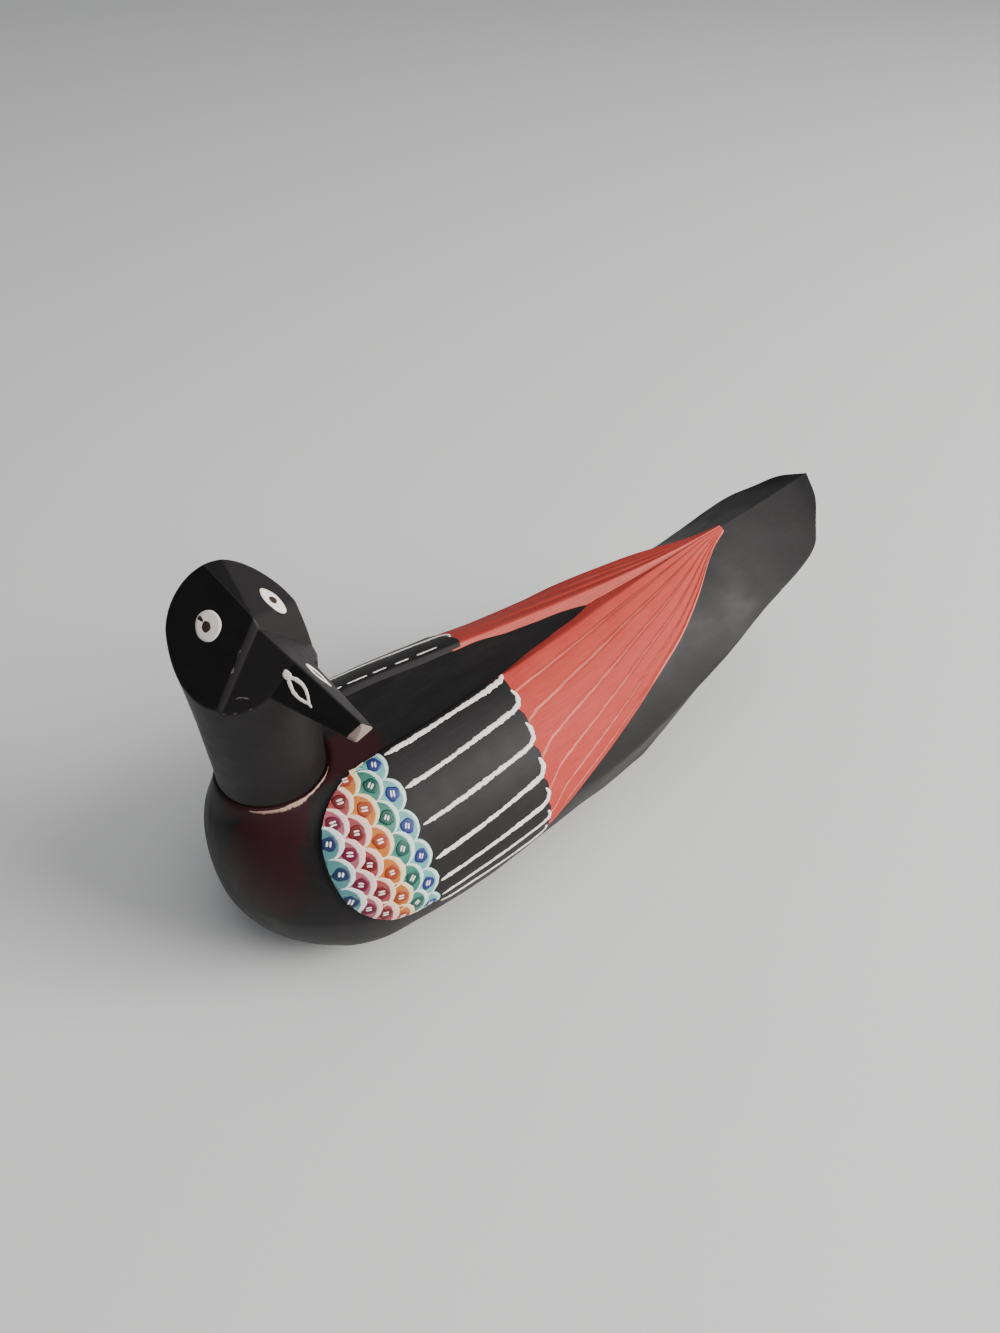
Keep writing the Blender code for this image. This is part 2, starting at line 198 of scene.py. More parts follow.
def quarter_round(distance: np.ndarray, radius: float) -> np.ndarray:
    """Height of a rounded edge: sqrt(1 - (1 - distance / radius) squared), 1 beyond the radius.

    Args:
        distance: Distance in from the edge.
        radius: Radius of the rounding.

    Returns:
        Share of the full height.
    """
    t = np.clip(1 - np.asarray(distance) / radius, 0.0, 1.0)
    return np.sqrt(1 - t * t)


def dense_ends(count: int, share: float = 0.6) -> np.ndarray:
    """Numbers from 0 to 1 that lie closer together near both ends.

    Args:
        count: How many.
        share: How far the spacing goes from even (0) towards a cosine (1).

    Returns:
        Rising numbers from 0 to 1.
    """
    t = np.linspace(0, 1, count)
    return t * (1 - share) + share * (1 - np.cos(np.pi * t)) / 2


def worn(points: np.ndarray, axis: int, passes: int, ring: bool = False) -> np.ndarray:
    """Round a grid's sharp lines with repeated running means of weights 1, 2, 1.

    Args:
        points: Grid of points.
        axis: Axis of the grid to run along.
        passes: How many times.
        ring: Whether the grid closes on itself along that axis.

    Returns:
        The rounded grid. The ends of an open grid stay in place.
    """
    for _ in range(passes):
        before, after = np.roll(points, 1, axis), np.roll(points, -1, axis)
        mean = (before + 2 * points + after) / 4
        if not ring:
            keep = [slice(None)] * points.ndim
            for end in (0, -1):
                keep[axis] = end
                mean[tuple(keep)] = points[tuple(keep)]
        points = mean
    return points


def find_feather(borders: Sequence[float], across: np.ndarray) -> tuple[np.ndarray, np.ndarray]:
    """Find the feather at each share of a wing's girth.

    Args:
        borders: The feathers' borders, rising from 0 to 1.
        across: Shares of the girth.

    Returns:
        The feather's number, and the share of the way across it.
    """
    edges = np.array(borders)
    feather = np.clip(np.searchsorted(edges, across, side="right") - 1, 0, len(edges) - 2)
    return feather, (across - edges[feather]) / (edges[feather + 1] - edges[feather])


# Meshes


def grid_faces(rows: int, columns: int, ring: bool = False) -> np.ndarray:
    """Quads of a grid of points numbered row by row.

    Args:
        rows: Rows of points.
        columns: Points in a row.
        ring: Whether each row closes on itself.

    Returns:
        One row of four point numbers a face.
    """
    index = np.arange(rows * columns).reshape(rows, columns)
    if ring:
        index = np.concatenate([index, index[:, :1]], axis=1)
    return np.stack([index[:-1, :-1], index[:-1, 1:], index[1:, 1:], index[1:, :-1]], -1).reshape(-1, 4)


class Draft:
    """Points, quads and per-point numbers of one mesh, gathered part by part."""

    def __init__(self, name: str) -> None:
        """Start an empty draft.

        Args:
            name: Name of the object to be.
        """
        self.name = name
        self.points: list[np.ndarray] = []
        self.faces: list[np.ndarray] = []
        self.slots: list[np.ndarray] = []
        self.marks: list[dict[str, np.ndarray]] = []
        self.count = 0

    def add(self, points: np.ndarray, faces: np.ndarray, slot: int = 0, **marks: np.ndarray) -> None:
        """Add a part.

        Args:
            points: Points in millimetres, in any grid shape that ends in 3.
            faces: Quads of point numbers.
            slot: Index of its material.
            **marks: Per-point numbers, or three-number rows, read by the materials.
        """
        flat = points.reshape(-1, 3)
        self.points.append(flat)
        self.faces.append(faces + self.count)
        self.slots.append(np.full(len(faces), slot, dtype=np.int32))
        self.marks.append({key: np.asarray(value, dtype=float) for key, value in marks.items()})
        self.count += len(flat)

    def ring(self, points: np.ndarray, slot: int = 0, **marks: np.ndarray) -> None:
        """Add a part whose rows close on themselves and whose first and last rows close on a point.

        Args:
            points: Grid of points, rows by ring.
            slot: Index of its material.
            **marks: Numbers per point, of the grid's shape.
        """
        self.add(points, grid_faces(*points.shape[:2], ring=True), slot, **marks)

    def slab(self, top: np.ndarray, under: np.ndarray, slot: int = 0, **marks: np.ndarray) -> None:
        """Add a closed plate between two grids of points.

        Args:
            top: Grid of points on the outside.
            under: Grid of the same shape on the inside.
            slot: Index of its material.
            **marks: Numbers per point of the top grid.
        """
        rows, columns = top.shape[:2]
        count = rows * columns
        faces = grid_faces(rows, columns)
        index = np.arange(count).reshape(rows, columns)
        rim = np.concatenate([index[0], index[1:, -1], index[-1, -2::-1], index[-2:0:-1, 0]])
        after = np.roll(rim, -1)
        walls = np.stack([rim, rim + count, after + count, after], -1)
        twice = {key: np.concatenate([v.reshape((count,) + v.shape[2:])] * 2) for key, v in marks.items()}
        self.add(np.concatenate([top.reshape(-1, 3), under.reshape(-1, 3)]),
                 np.concatenate([faces, faces[:, ::-1] + count, walls]), slot, **twice)

    def build(self, materials: Sequence[bpy.types.Material]) -> bpy.types.Object:
        """Make the object: doubles merged, faces turned outwards, shading smooth.

        Args:
            materials: Its materials, in slot order.

        Returns:
            The linked object, at the origin and unturned.
        """
        mesh = bpy.data.meshes.new(self.name)
        points = np.concatenate(self.points) * MM
        faces = np.concatenate(self.faces)
        mesh.vertices.add(len(points))
        mesh.vertices.foreach_set("co", points.ravel())
        mesh.loops.add(faces.size)
        mesh.loops.foreach_set("vertex_index", faces.ravel().astype(np.int32))
        mesh.polygons.add(len(faces))
        mesh.polygons.foreach_set("loop_start", np.arange(0, faces.size, 4, dtype=np.int32))
        mesh.polygons.foreach_set("material_index", np.concatenate(self.slots))
        for key in sorted({key for marks in self.marks for key in marks}):
            self._store(mesh, key)
        mesh.update(calc_edges=True)
        shape = bmesh.new()
        shape.from_mesh(mesh)
        bmesh.ops.remove_doubles(shape, verts=shape.verts, dist=MERGE * MM)
        bmesh.ops.dissolve_degenerate(shape, edges=shape.edges, dist=MERGE * MM / 2)
        bmesh.ops.recalc_face_normals(shape, faces=shape.faces)
        shape.to_mesh(mesh)
        shape.free()
        mesh.shade_smooth()
        for material in materials:
            mesh.materials.append(material)
        piece = bpy.data.objects.new(self.name, mesh)
        bpy.context.collection.objects.link(piece)
        LOG.info("%s: %d points, %d faces", self.name, len(mesh.vertices), len(mesh.polygons))
        return piece

    def _store(self, mesh: bpy.types.Mesh, key: str) -> None:
        """Write one per-point attribute, 0 where a part doesn't have it.

        Args:
            mesh: Mesh that gets the attribute.
            key: The attribute's name.
        """
        given = [(marks.get(key), len(flat)) for flat, marks in zip(self.points, self.marks)]
        wide = any(value is not None and value.size == 3 * count for value, count in given)
        width = 3 if wide else 1
        rows = [np.zeros((count, width)) if value is None else value.reshape(-1, width)
                for value, count in given]
        kind, field = ("FLOAT_VECTOR", "vector") if wide else ("FLOAT", "value")
        layer = mesh.attributes.new(key, kind, "POINT")
        layer.data.foreach_set(field, np.concatenate(rows).ravel().astype(np.float32))


# The body's form


@dataclass(frozen=True)
class BodyForm:
    """Profiles of the body, as shares of its length. They are those of the CAD part."""

    length: float = 250.0
    breast_at: float = -0.336
    breast_radius: float = 0.164
    breast_fullness: float = 3.8
    breast_paring: float = 0.79
    tail_edge: float = 0.0048
    belly_end: Pair = (0.142, 0.164)
    half_width: Stations = ((-0.336, 0.164), (-0.224, 0.1624), (-0.116, 0.1568), (0.0, 0.1504),
                            (0.08, 0.144), (0.216, 0.122), (0.32, 0.1048), (0.416, 0.092),
                            (0.438, 0.084), (0.46, 0.062), (0.482, 0.037), (0.5, 0.0))
    widest_height: Stations = ((-0.336, 0.144), (-0.116, 0.148), (-0.02, 0.146), (0.04, 0.152),
                               (0.084, 0.164), (0.216, 0.1892), (0.32, 0.226), (0.42, 0.264),
                               (0.44, 0.2744), (0.46, 0.292), (0.482, 0.3135), (0.5, 0.33))
    ridge_offset: Stations = ((-0.336, 0.056), (-0.296, 0.056), (-0.1148, 0.040), (0.318, 0.0), (0.5, 0.0))
    ridge_height: Stations = ((-0.336, 0.283), (-0.296, 0.284), (-0.1148, 0.2852), (0.08, 0.292),
                              (0.318, 0.308), (0.5, 0.33))
    valley_depth: Stations = ((-0.336, -0.003), (-0.296, 0.0), (-0.2, 0.0024), (0.24, 0.0024), (0.318, 0.0),
                              (0.5, 0.0))
    belly_half_width: Stations = ((-0.336, 0.0784), (-0.24, 0.086), (-0.068, 0.084), (0.036, 0.080),
                                  (0.142, 0.066))
    crown_roundness: Stations = ((-0.5, 0.20), (-0.336, 0.32), (-0.224, 0.32), (-0.116, 0.31), (-0.04, 0.29),
                                 (0.08, 0.28), (0.20, 0.23), (0.32, 0.03), (0.5, 0.0))
    flank_roundness: Stations = ((-0.336, 0.225), (-0.224, 0.22), (-0.116, 0.15), (0.0, 0.04), (0.08, 0.0))

    def skin(self, along: np.ndarray, girth: np.ndarray) -> np.ndarray:
        """Points of the skin on the bird's left.

        Each cross-section is two arcs between the ridge, the widest line and the belly's edge, with a
        shallow valley above and a flat belly below. In front of the breast line the section shrinks as
        a ball: half width times sqrt(1 - back squared), height times the breast's own fuller curve.

        Args:
            along: Share of the length.
            girth: Place round the section, -1 to 3.

        Returns:
            Points in millimetres.
        """
        inside = along < self.breast_at
        back = np.round((self.breast_at - np.minimum(along, self.breast_at)) / self.breast_radius, 9)
        ball = np.sqrt(np.clip(1 - back ** 2, 0, None))
        top = np.clip(1 - back ** self.breast_fullness, 0, None) ** (1 / self.breast_fullness)
        wide = profile(along, self.half_width) * np.where(inside, ball, 1.0)
        wide_z = profile(along, self.widest_height)
        foot = profile(along, self.ridge_offset) * np.where(inside, ball, 1.0)
        foot_z = wide_z + (profile(along, self.ridge_height) - wide_z) * np.where(inside, top, 1.0)
        valley_z = foot_z - profile(along, self.valley_depth) * np.where(inside, top, 1.0)
        radius = self.breast_radius * ball
        cut = np.sqrt(np.clip(radius ** 2 - wide_z ** 2, 0, None))
        belly = np.where(inside, cut, profile(along, self.belly_half_width))
        belly_z = np.where(inside, np.clip(wide_z - radius, 0, None), 0.0)
        turned = np.arccos(np.clip(cut / np.maximum(radius, 1e-9), -1, 1))
        flank = profile(along, self.flank_roundness)
        flank = np.where(inside, np.tan(turned / 4) * self.breast_paring, flank)
        lift = np.clip((along - self.belly_end[0]) / (self.belly_end[1] - self.belly_end[0]), 0, 1)
        belly = belly * (1 - lift) + np.maximum(wide - self.tail_edge, 0) * lift
        belly_z = belly_z * (1 - lift) + (wide_z - self.tail_edge) * lift
        crown_round = profile(along, self.crown_roundness)
        crown = arc((foot, foot_z), (wide, wide_z), crown_round, np.clip(girth, 0, 1))
        side = arc((wide, wide_z), (belly, belly_z), flank, np.clip(girth - 1, 0, 1))
        t = np.minimum(girth + 1, 1)
        valley = foot * t, valley_z * (1 - t) + foot_z * t
        under = belly * (1 - np.clip(girth - 2, 0, 1)), belly_z
        bands = [girth < 0, girth <= 1, girth <= 2]
        x, z = (np.select(bands, [valley[k], crown[k], side[k]], under[k]) for k in (0, 1))
        return np.stack(np.broadcast_arrays(x, along, z), -1) * self.length

    def outward(self, along: np.ndarray, girth: np.ndarray) -> np.ndarray:
        """Unit normals of the skin, from differences a thousandth apart.

        Args:
            along: Share of the length.
            girth: Place round the section.

        Returns:
            Unit vectors.
        """
        step = 0.001
        down = self.skin(along, girth + step) - self.skin(along, girth - step)
        back = self.skin(along + step, girth) - self.skin(along - step, girth)
        normal = np.cross(down, back)
        return normal / np.maximum(np.linalg.norm(normal, axis=-1, keepdims=True), 1e-12)


@dataclass(frozen=True)
class WingForm:
    """Outlines and reliefs of a wing: its coverts in front and its flight feathers behind."""

    body: BodyForm
    relief: float = 1.6
    front_relief: float = 0.9
    tip_relief: float = 0.7
    feather_step: float = 0.85
    covert_step: float = 0.5
    root: float = 2.4
    flight_root: float = 3.4
    near_ridge: float = 0.02
    straight_down: float = 0.3
    foot_sink: float = 0.2
    patch_at: float = -0.30
    patch_reach: float = 0.1165
    patch_girth: float = 0.55
    patch_fullness: float = 2.3
    covert_end: Pair = (-0.1115, -0.0185)
    corner: float = 0.016
    overlap: float = 0.020
    tip_at: float = 0.318
    girth: Stations = ((-0.42, 1.09), (-0.34, 1.10), (-0.285, 1.165), (-0.20, 1.19))
    borders: tuple[float, ...] = (0.0, 0.21, 0.42, 0.60, 0.75, 0.87, 1.0)
    flight_borders: tuple[float, ...] = (0.0, 0.12, 0.29, 0.49, 0.67, 0.83, 0.94, 1.0)
    rear_edge: Stations = ((-0.14, 1.19), (-0.123, 1.17), (-0.10, 1.04), (-0.072, 0.96), (0.0, 0.80),
                           (0.067, 0.69), (0.108, 0.63), (0.153, 0.56), (0.22, 0.39), (0.294, 0.13),
                           (0.318, 0.06))
    covert_foot: Stations = ((-0.42, -0.14), (-0.1, -0.14))
    flight_foot: Stations = ((-0.15, -0.19), (-0.1148, -0.19), (-0.024, -0.65), (0.06, -0.97),
                             (0.088, -1.0), (0.312, -1.0))

    def front(self, across: np.ndarray) -> np.ndarray:
        """Front edge of the scale patch: half a full oval.

        It lies at patch_at - reach * (1 - |offset| ** fullness) ** (1 / fullness).

        Args:
            across: Share of the wing's girth, 0 at the ridge.

        Returns:
            Place along the body.
        """
        offset = (across * self.girth[0][1] - self.patch_girth) / self.patch_girth
        full = np.clip(1 - np.abs(offset) ** self.patch_fullness, 0, None)
        return self.patch_at - self.patch_reach * full ** (1 / self.patch_fullness)

    def covert_rear(self, across: np.ndarray) -> np.ndarray:
        """Rear edge of the coverts: a slanting line with each feather's lower corner rounded off.

        Args:
            across: Share of the wing's girth.

        Returns:
            Place along the body.
        """
        _, share = find_feather(self.borders, across)
        late = np.clip((share - 0.5) / 0.5, 0, 1)
        early = np.clip((0.22 - share) / 0.22, 0, 1)
        rounding = self.corner * (1 - np.sqrt(1 - 0.97 * late ** 2)) + 0.3 * self.corner * early ** 2
        return self.covert_end[0] + self.covert_end[1] * across - rounding

    def covert_relief(self, along: np.ndarray, across: np.ndarray) -> np.ndarray:
        """How far the coverts stand off the skin.

        Args:
            along: Place along the body.
            across: Share of the wing's girth.

        Returns:
            Millimetres: front_relief at the front edge, rising to the full relief over a quarter.
        """
        front, rear = self.front(across), self.covert_rear(across)
        down = np.clip((along - front) / (rear - front), 0, 1)
        return self.front_relief + (self.relief - self.front_relief) * np.minimum(down / 0.25, 1)

    def bevelled(self, along: np.ndarray, girth: np.ndarray, foot: np.ndarray, relief: np.ndarray,
                 sink: np.ndarray | float) -> np.ndarray:
        """Points of a wing plate's top.

        Out from the ridge: skin + outward * relief. In from the ridge: the straight line from the
        ridge's top to the foot, which lies a little under the skin.

        Args:
            along: Place along the body.
            girth: Place round the section.
            foot: Girth of the foot line at each place.
            relief: Height over the skin at each place.
            sink: Depth of the foot under the skin.

        Returns:
            Points in millimetres.
        """
        out = np.maximum(girth, 0)
        top = self.body.skin(along, out)
        top = top + self.body.outward(along, np.maximum(out, self.near_ridge)) * relief[..., None]
        sunk = self.body.skin(along, foot)
        sunk = sunk - np.broadcast_to(sink, along.shape)[..., None] * (0.0, 0.0, 1.0)
        t = np.clip(girth / foot, 0, 1)[..., None]
        return top * (1 - t) + sunk * t

    def under(self, along: np.ndarray, girth: np.ndarray, root: float) -> np.ndarray:
        """Points of a wing plate's hidden underside: straight down near the ridge, square further out.

        Args:
            along: Place along the body.
            girth: Place round the section.
            root: Depth of the plate's root.

        Returns:
            Points in millimetres.
        """
        normal = self.body.outward(along, np.maximum(girth, self.near_ridge))
        steep = np.clip(girth / self.straight_down, 0, 1)[..., None]
        sink = normal * steep + np.array((0.0, 0.0, 1.0)) * (1 - steep)
        return self.body.skin(along, girth) - root * sink


# Finishes


class Graph:
    """A node tree with short calls for making and linking nodes."""

    def __init__(self, tree: bpy.types.NodeTree) -> None:
        """Take an emptied tree.

        Args:
            tree: Tree of a group or a material.
        """
        self.tree = tree
        tree.nodes.clear()

    def node(self, kind: str, **settings: object) -> bpy.types.Node:
        """Add a node.

        Args:
            kind: Node type.
            **settings: Properties to set on it.

        Returns:
            The node.
        """
        node = self.tree.nodes.new(kind)
        for key, value in settings.items():
            setattr(node, key, value)
        return node

    def feed(self, socket: bpy.types.NodeSocket, source: object) -> None:
        """Link a socket to another socket, or set its value.

        Args:
            socket: Input that is fed.
            source: Output socket, number or tuple.
        """
        if isinstance(source, bpy.types.NodeSocket):
            self.tree.links.new(source, socket)
        else:
            socket.default_value = source

    def sum(self, operation: str, first: object, second: object = 0.0,
            clamp: bool = False) -> bpy.types.NodeSocket:
        """A math node.

        Args:
            operation: Its operation.
            first: First operand.
            second: Second operand.
            clamp: Whether the result is held in 0 to 1.

        Returns:
            Its output.
        """
        node = self.node("ShaderNodeMath", operation=operation, use_clamp=clamp)
        self.feed(node.inputs[0], first)
        self.feed(node.inputs[1], second)
        return node.outputs[0]

    def grade(self, value: object, low: float, high: float,
              to: Pair = (0.0, 1.0)) -> bpy.types.NodeSocket:
        """A smooth map of a range.

        Args:
            value: Number to map.
            low: Value that gives the first result.
            high: Value that gives the second.
            to: The two results.

        Returns:
            The mapped number.
        """
        node = self.node("ShaderNodeMapRange", interpolation_type="SMOOTHSTEP")
        self.feed(node.inputs["Value"], value)
        node.inputs["From Min"].default_value = low
        node.inputs["From Max"].default_value = high
        node.inputs["To Min"].default_value = to[0]
        node.inputs["To Max"].default_value = to[1]
        return node.outputs["Result"]

    def mix(self, share: object, first: object, second: object) -> bpy.types.NodeSocket:
        """A colour mix.

        Args:
            share: Share of the second colour.
            first: First colour.
            second: Second colour.

        Returns:
            The mixed colour.
        """
        node = self.node("ShaderNodeMix", data_type="RGBA")
        self.feed(node.inputs[0], share)
        self.feed(node.inputs[6], first)
        self.feed(node.inputs[7], second)
        return node.outputs[2]

    def swing(self, value: object, share: float) -> bpy.types.NodeSocket:
        """A noise turned into a swing about nought: (value - 0.5) * share.

        Args:
            value: Noise from 0 to 1.
            share: Width of the swing.

        Returns:
            The swing.
        """
        return self.sum("MULTIPLY", self.sum("SUBTRACT", value, 0.5), share)

    def stretch(self, place: bpy.types.NodeSocket, scale: Triple) -> bpy.types.NodeSocket:
        """Places times a scale on each axis.

        Args:
            place: Vector socket.
            scale: Factor on each axis.

        Returns:
            The scaled vector.
        """
        node = self.node("ShaderNodeVectorMath", operation="MULTIPLY")
        self.feed(node.inputs[0], place)
        node.inputs[1].default_value = scale
        return node.outputs[0]

    def noise(self, place: bpy.types.NodeSocket, scale: float, detail: float = 3.0,
              roughness: float = 0.55) -> bpy.types.NodeSocket:
        """A noise texture.

        Args:
            place: Vector socket.
            scale: Its scale.
            detail: Its detail.
            roughness: Its roughness.

        Returns:
            Its factor.
        """
        node = self.node("ShaderNodeTexNoise")
        self.feed(node.inputs["Vector"], place)
        node.inputs["Scale"].default_value = scale
        node.inputs["Detail"].default_value = detail
        node.inputs["Roughness"].default_value = roughness
        return node.outputs["Fac"]


class Shared:
    """Node groups that several finishes use, each made once."""

    made: dict[str, bpy.types.NodeTree] = {}

    @classmethod
    def interface(cls, name: str, inputs: Sequence[tuple[str, str, object]],
                  outputs: Sequence[tuple[str, str]]) -> tuple[Graph, bpy.types.Node, bpy.types.Node]:
        """Start a group with named sockets.

        Args:
            name: The group's name.
            inputs: (name, socket type, default) of each input.
            outputs: (name, socket type) of each output.

        Returns:
            Its graph, its input node and its output node.
        """
        tree = bpy.data.node_groups.new(name, "ShaderNodeTree")
        for label, kind, default in inputs:
            socket = tree.interface.new_socket(label, in_out="INPUT", socket_type=kind)
            if default is not None:
                socket.default_value = default
        for label, kind in outputs:
            tree.interface.new_socket(label, in_out="OUTPUT", socket_type=kind)
        graph = Graph(tree)
        cls.made[name] = tree
        return graph, graph.node("NodeGroupInput"), graph.node("NodeGroupOutput")

    @classmethod
    def painted_wood(cls) -> bpy.types.NodeTree:
        """Brushed paint on carved wood.

        Streaks run along the first axis of Place. Zone turns the paint to a second colour: a second paint on
        some pieces, painted highlight or shade on others. Bare wears it off to the wood; both have a ragged
        edge.

        Returns:
            The group.
        """
        name = "Painted wood"
        if name in cls.made:
            return cls.made[name]
        grey = (0.5, 0.5, 0.5, 1.0)
        graph, given, result = cls.interface(name, (
            ("Place", "NodeSocketVector", None), ("Paint", "NodeSocketColor", grey),
            ("Thin Paint", "NodeSocketColor", grey), ("Zone Paint", "NodeSocketColor", grey),
            ("Wood", "NodeSocketColor", grey), ("Zone", "NodeSocketFloat", 0.0),
            ("Bare", "NodeSocketFloat", 0.0), ("Streak", "NodeSocketFloat", 0.5),
            ("Speck", "NodeSocketFloat", 0.2), ("Roughness", "NodeSocketFloat", 0.45)),
            (("Base Color", "NodeSocketColor"), ("Roughness", "NodeSocketFloat"),
             ("Bump Height", "NodeSocketFloat")))
        place = given.outputs["Place"]
        streaks = graph.noise(graph.stretch(place, (0.06, 1.0, 1.0)), 1.4, 4.0, 0.6)
        broad = graph.noise(graph.stretch(place, (0.5, 1.0, 1.0)), 0.16, 3.0)
        fine = graph.noise(place, 2.6, 2.0, 0.7)
        thin = graph.sum("MULTIPLY", graph.grade(graph.sum("ADD", streaks, broad), 0.78, 1.3),
                         given.outputs["Streak"])
        colour = graph.mix(thin, given.outputs["Paint"], given.outputs["Thin Paint"])
        ragged = graph.sum("ADD", given.outputs["Zone"], graph.swing(streaks, 0.7))
        colour = graph.mix(graph.grade(ragged, 0.35, 0.75), colour, given.outputs["Zone Paint"])
        speck = graph.sum("MULTIPLY", graph.grade(fine, 0.66, 0.78), given.outputs["Speck"])
        colour = graph.mix(speck, colour, given.outputs["Thin Paint"])
        grain = graph.noise(graph.stretch(place, (0.1, 2.2, 2.2)), 1.0, 3.0)
        wood = graph.mix(graph.grade(grain, 0.35, 0.7), given.outputs["Wood"],
                         graph.mix(0.45, given.outputs["Wood"], (0.16, 0.08, 0.05, 1.0)))
        torn = graph.sum("ADD", given.outputs["Bare"], graph.swing(fine, 0.9))
        bare = graph.grade(torn, 0.42, 0.58)
        graph.feed(result.inputs["Base Color"], graph.mix(bare, colour, wood))
        rough = graph.sum("ADD", given.outputs["Roughness"], graph.swing(broad, 0.25))
        rough = graph.sum("ADD", rough, graph.sum("MULTIPLY", bare, 0.25), clamp=True)
        graph.feed(result.inputs["Roughness"], rough)
        height = graph.sum("ADD", graph.sum("MULTIPLY", streaks, 0.7), graph.sum("MULTIPLY", fine, 0.35))
        height = graph.sum("SUBTRACT", height, graph.sum("MULTIPLY", bare, 0.5))
        graph.feed(result.inputs["Bump Height"], height)
        return cls.made[name]

    @classmethod
    def table_top(cls) -> bpy.types.NodeTree:
        """A pale lacquered surface with faint clouds.

        Returns:
            The group.
        """
        name = "Table top"
        if name in cls.made:
            return cls.made[name]
        graph, given, result = cls.interface(name, (
            ("Place", "NodeSocketVector", None), ("Pale", "NodeSocketColor", (0.6, 0.6, 0.6, 1.0)),
            ("Cloud", "NodeSocketColor", (0.5, 0.5, 0.5, 1.0))),
            (("Base Color", "NodeSocketColor"), ("Roughness", "NodeSocketFloat")))
        cloud = graph.noise(given.outputs["Place"], 6.0, 4.0)
        graph.feed(result.inputs["Base Color"], graph.mix(graph.grade(cloud, 0.3, 0.8, (0.0, 0.5)),
                                                          given.outputs["Pale"], given.outputs["Cloud"]))
        graph.feed(result.inputs["Roughness"], graph.grade(cloud, 0.3, 0.8, (0.5, 0.62)))
        return cls.made[name]


@dataclass(frozen=True)
class PaintedWood:
    """Paint brushed on carved wood. Colours are linear red, green and blue."""

    name: str
    paint: Colour
    thin: Colour
    zone: Colour = (0.05, 0.02, 0.02)
    wood: Colour = (0.56, 0.42, 0.33)
    streak: float = 0.5
    speck: float = 0.2
    roughness: float = 0.45
    bump: float = 0.15
    specular: float = 0.30

    def material(self) -> bpy.types.Material:
        """Make the material.

        Returns:
            A material that reads the attributes place, zone and bare.
        """
        material = bpy.data.materials.new(self.name)
        material.use_nodes = True
        graph = Graph(material.node_tree)
        result = graph.node("ShaderNodeOutputMaterial")
        shader = graph.node("ShaderNodeBsdfPrincipled")
        group = graph.node("ShaderNodeGroup", node_tree=Shared.painted_wood())
        for label, name in (("Place", "place"), ("Zone", "zone"), ("Bare", "bare")):
            reader = graph.node("ShaderNodeAttribute", attribute_name=name)
            graph.feed(group.inputs[label], reader.outputs["Vector" if label == "Place" else "Fac"])
        for label, value in (("Paint", self.paint), ("Thin Paint", self.thin), ("Zone Paint", self.zone),
                             ("Wood", self.wood)):
            group.inputs[label].default_value = (*value, 1.0)
        for label, value in (("Streak", self.streak), ("Speck", self.speck), ("Roughness", self.roughness)):
            group.inputs[label].default_value = value
        bump = graph.node("ShaderNodeBump")
        bump.inputs["Strength"].default_value = self.bump
        bump.inputs["Distance"].default_value = 0.2 * MM
        graph.feed(bump.inputs["Height"], group.outputs["Bump Height"])
        graph.feed(shader.inputs["Base Color"], group.outputs["Base Color"])
        graph.feed(shader.inputs["Roughness"], group.outputs["Roughness"])
        graph.feed(shader.inputs["Normal"], bump.outputs["Normal"])
        shader.inputs["Specular IOR Level"].default_value = self.specular
        graph.feed(result.inputs["Surface"], shader.outputs["BSDF"])
        return material


@dataclass(frozen=True)
class PaleTable:
    """The plain pale floor."""

    name: str = "pale table"
    pale: Colour = (0.74, 0.735, 0.725)
    cloud: Colour = (0.70, 0.70, 0.70)

    def material(self) -> bpy.types.Material:
        """Make the material.

        Returns:
            A material that reads Object coordinates.
        """
        material = bpy.data.materials.new(self.name)
        material.use_nodes = True
        graph = Graph(material.node_tree)
        result = graph.node("ShaderNodeOutputMaterial")
        shader = graph.node("ShaderNodeBsdfPrincipled")
        group = graph.node("ShaderNodeGroup", node_tree=Shared.table_top())
        graph.feed(group.inputs["Place"], graph.node("ShaderNodeTexCoord").outputs["Object"])
        group.inputs["Pale"].default_value = (*self.pale, 1.0)
        group.inputs["Cloud"].default_value = (*self.cloud, 1.0)
        graph.feed(shader.inputs["Base Color"], group.outputs["Base Color"])
        graph.feed(shader.inputs["Roughness"], group.outputs["Roughness"])
        graph.feed(result.inputs["Surface"], shader.outputs["BSDF"])
        return material


BLACK = PaintedWood("black paint", paint=(0.009, 0.008, 0.008), thin=(0.026, 0.023, 0.0225),
                    zone=(0.0275, 0.005, 0.0068), streak=0.28, speck=0.3, roughness=0.54,
                    specular=0.22)
# The head's black. Its paint colour is a darker black, painted shade on the cuts that face away from the
# light and on the beak's right side; its zone colour is the plain black.
SHADED_BLACK = PaintedWood("jet and charcoal paint", paint=(0.0035, 0.003, 0.003), thin=(0.008, 0.007, 0.007),
                  zone=(0.0105, 0.009, 0.0092), wood=(0.25, 0.20, 0.175), streak=0.3, speck=0.1,
                  roughness=0.46, bump=0.10, specular=0.22)
# The coral's zone colour is a lighter coral, used only for painted highlights on the flight feathers.
CORAL = PaintedWood("coral paint", paint=(0.41, 0.038, 0.028), thin=(0.49, 0.074, 0.058),
                    zone=(0.68, 0.175, 0.135), streak=0.5, speck=0.3, roughness=0.66, specular=0.2)
WHITE = PaintedWood("white paint", paint=(0.86, 0.80, 0.75), thin=(0.70, 0.62, 0.57),
                    roughness=0.55, streak=0.5)
PUPIL = PaintedWood("brown-black paint", paint=(0.030, 0.016, 0.010), thin=(0.05, 0.03, 0.02))
UNDERCOAT = PaintedWood("grey undercoat", paint=(0.10, 0.088, 0.082), thin=(0.05, 0.044, 0.04),
                        roughness=0.6)
BARE_WOOD = PaintedWood("bare wood", paint=(0.36, 0.22, 0.165), thin=(0.48, 0.32, 0.26),
                        roughness=0.65, streak=0.7)


# The body and the wing plates


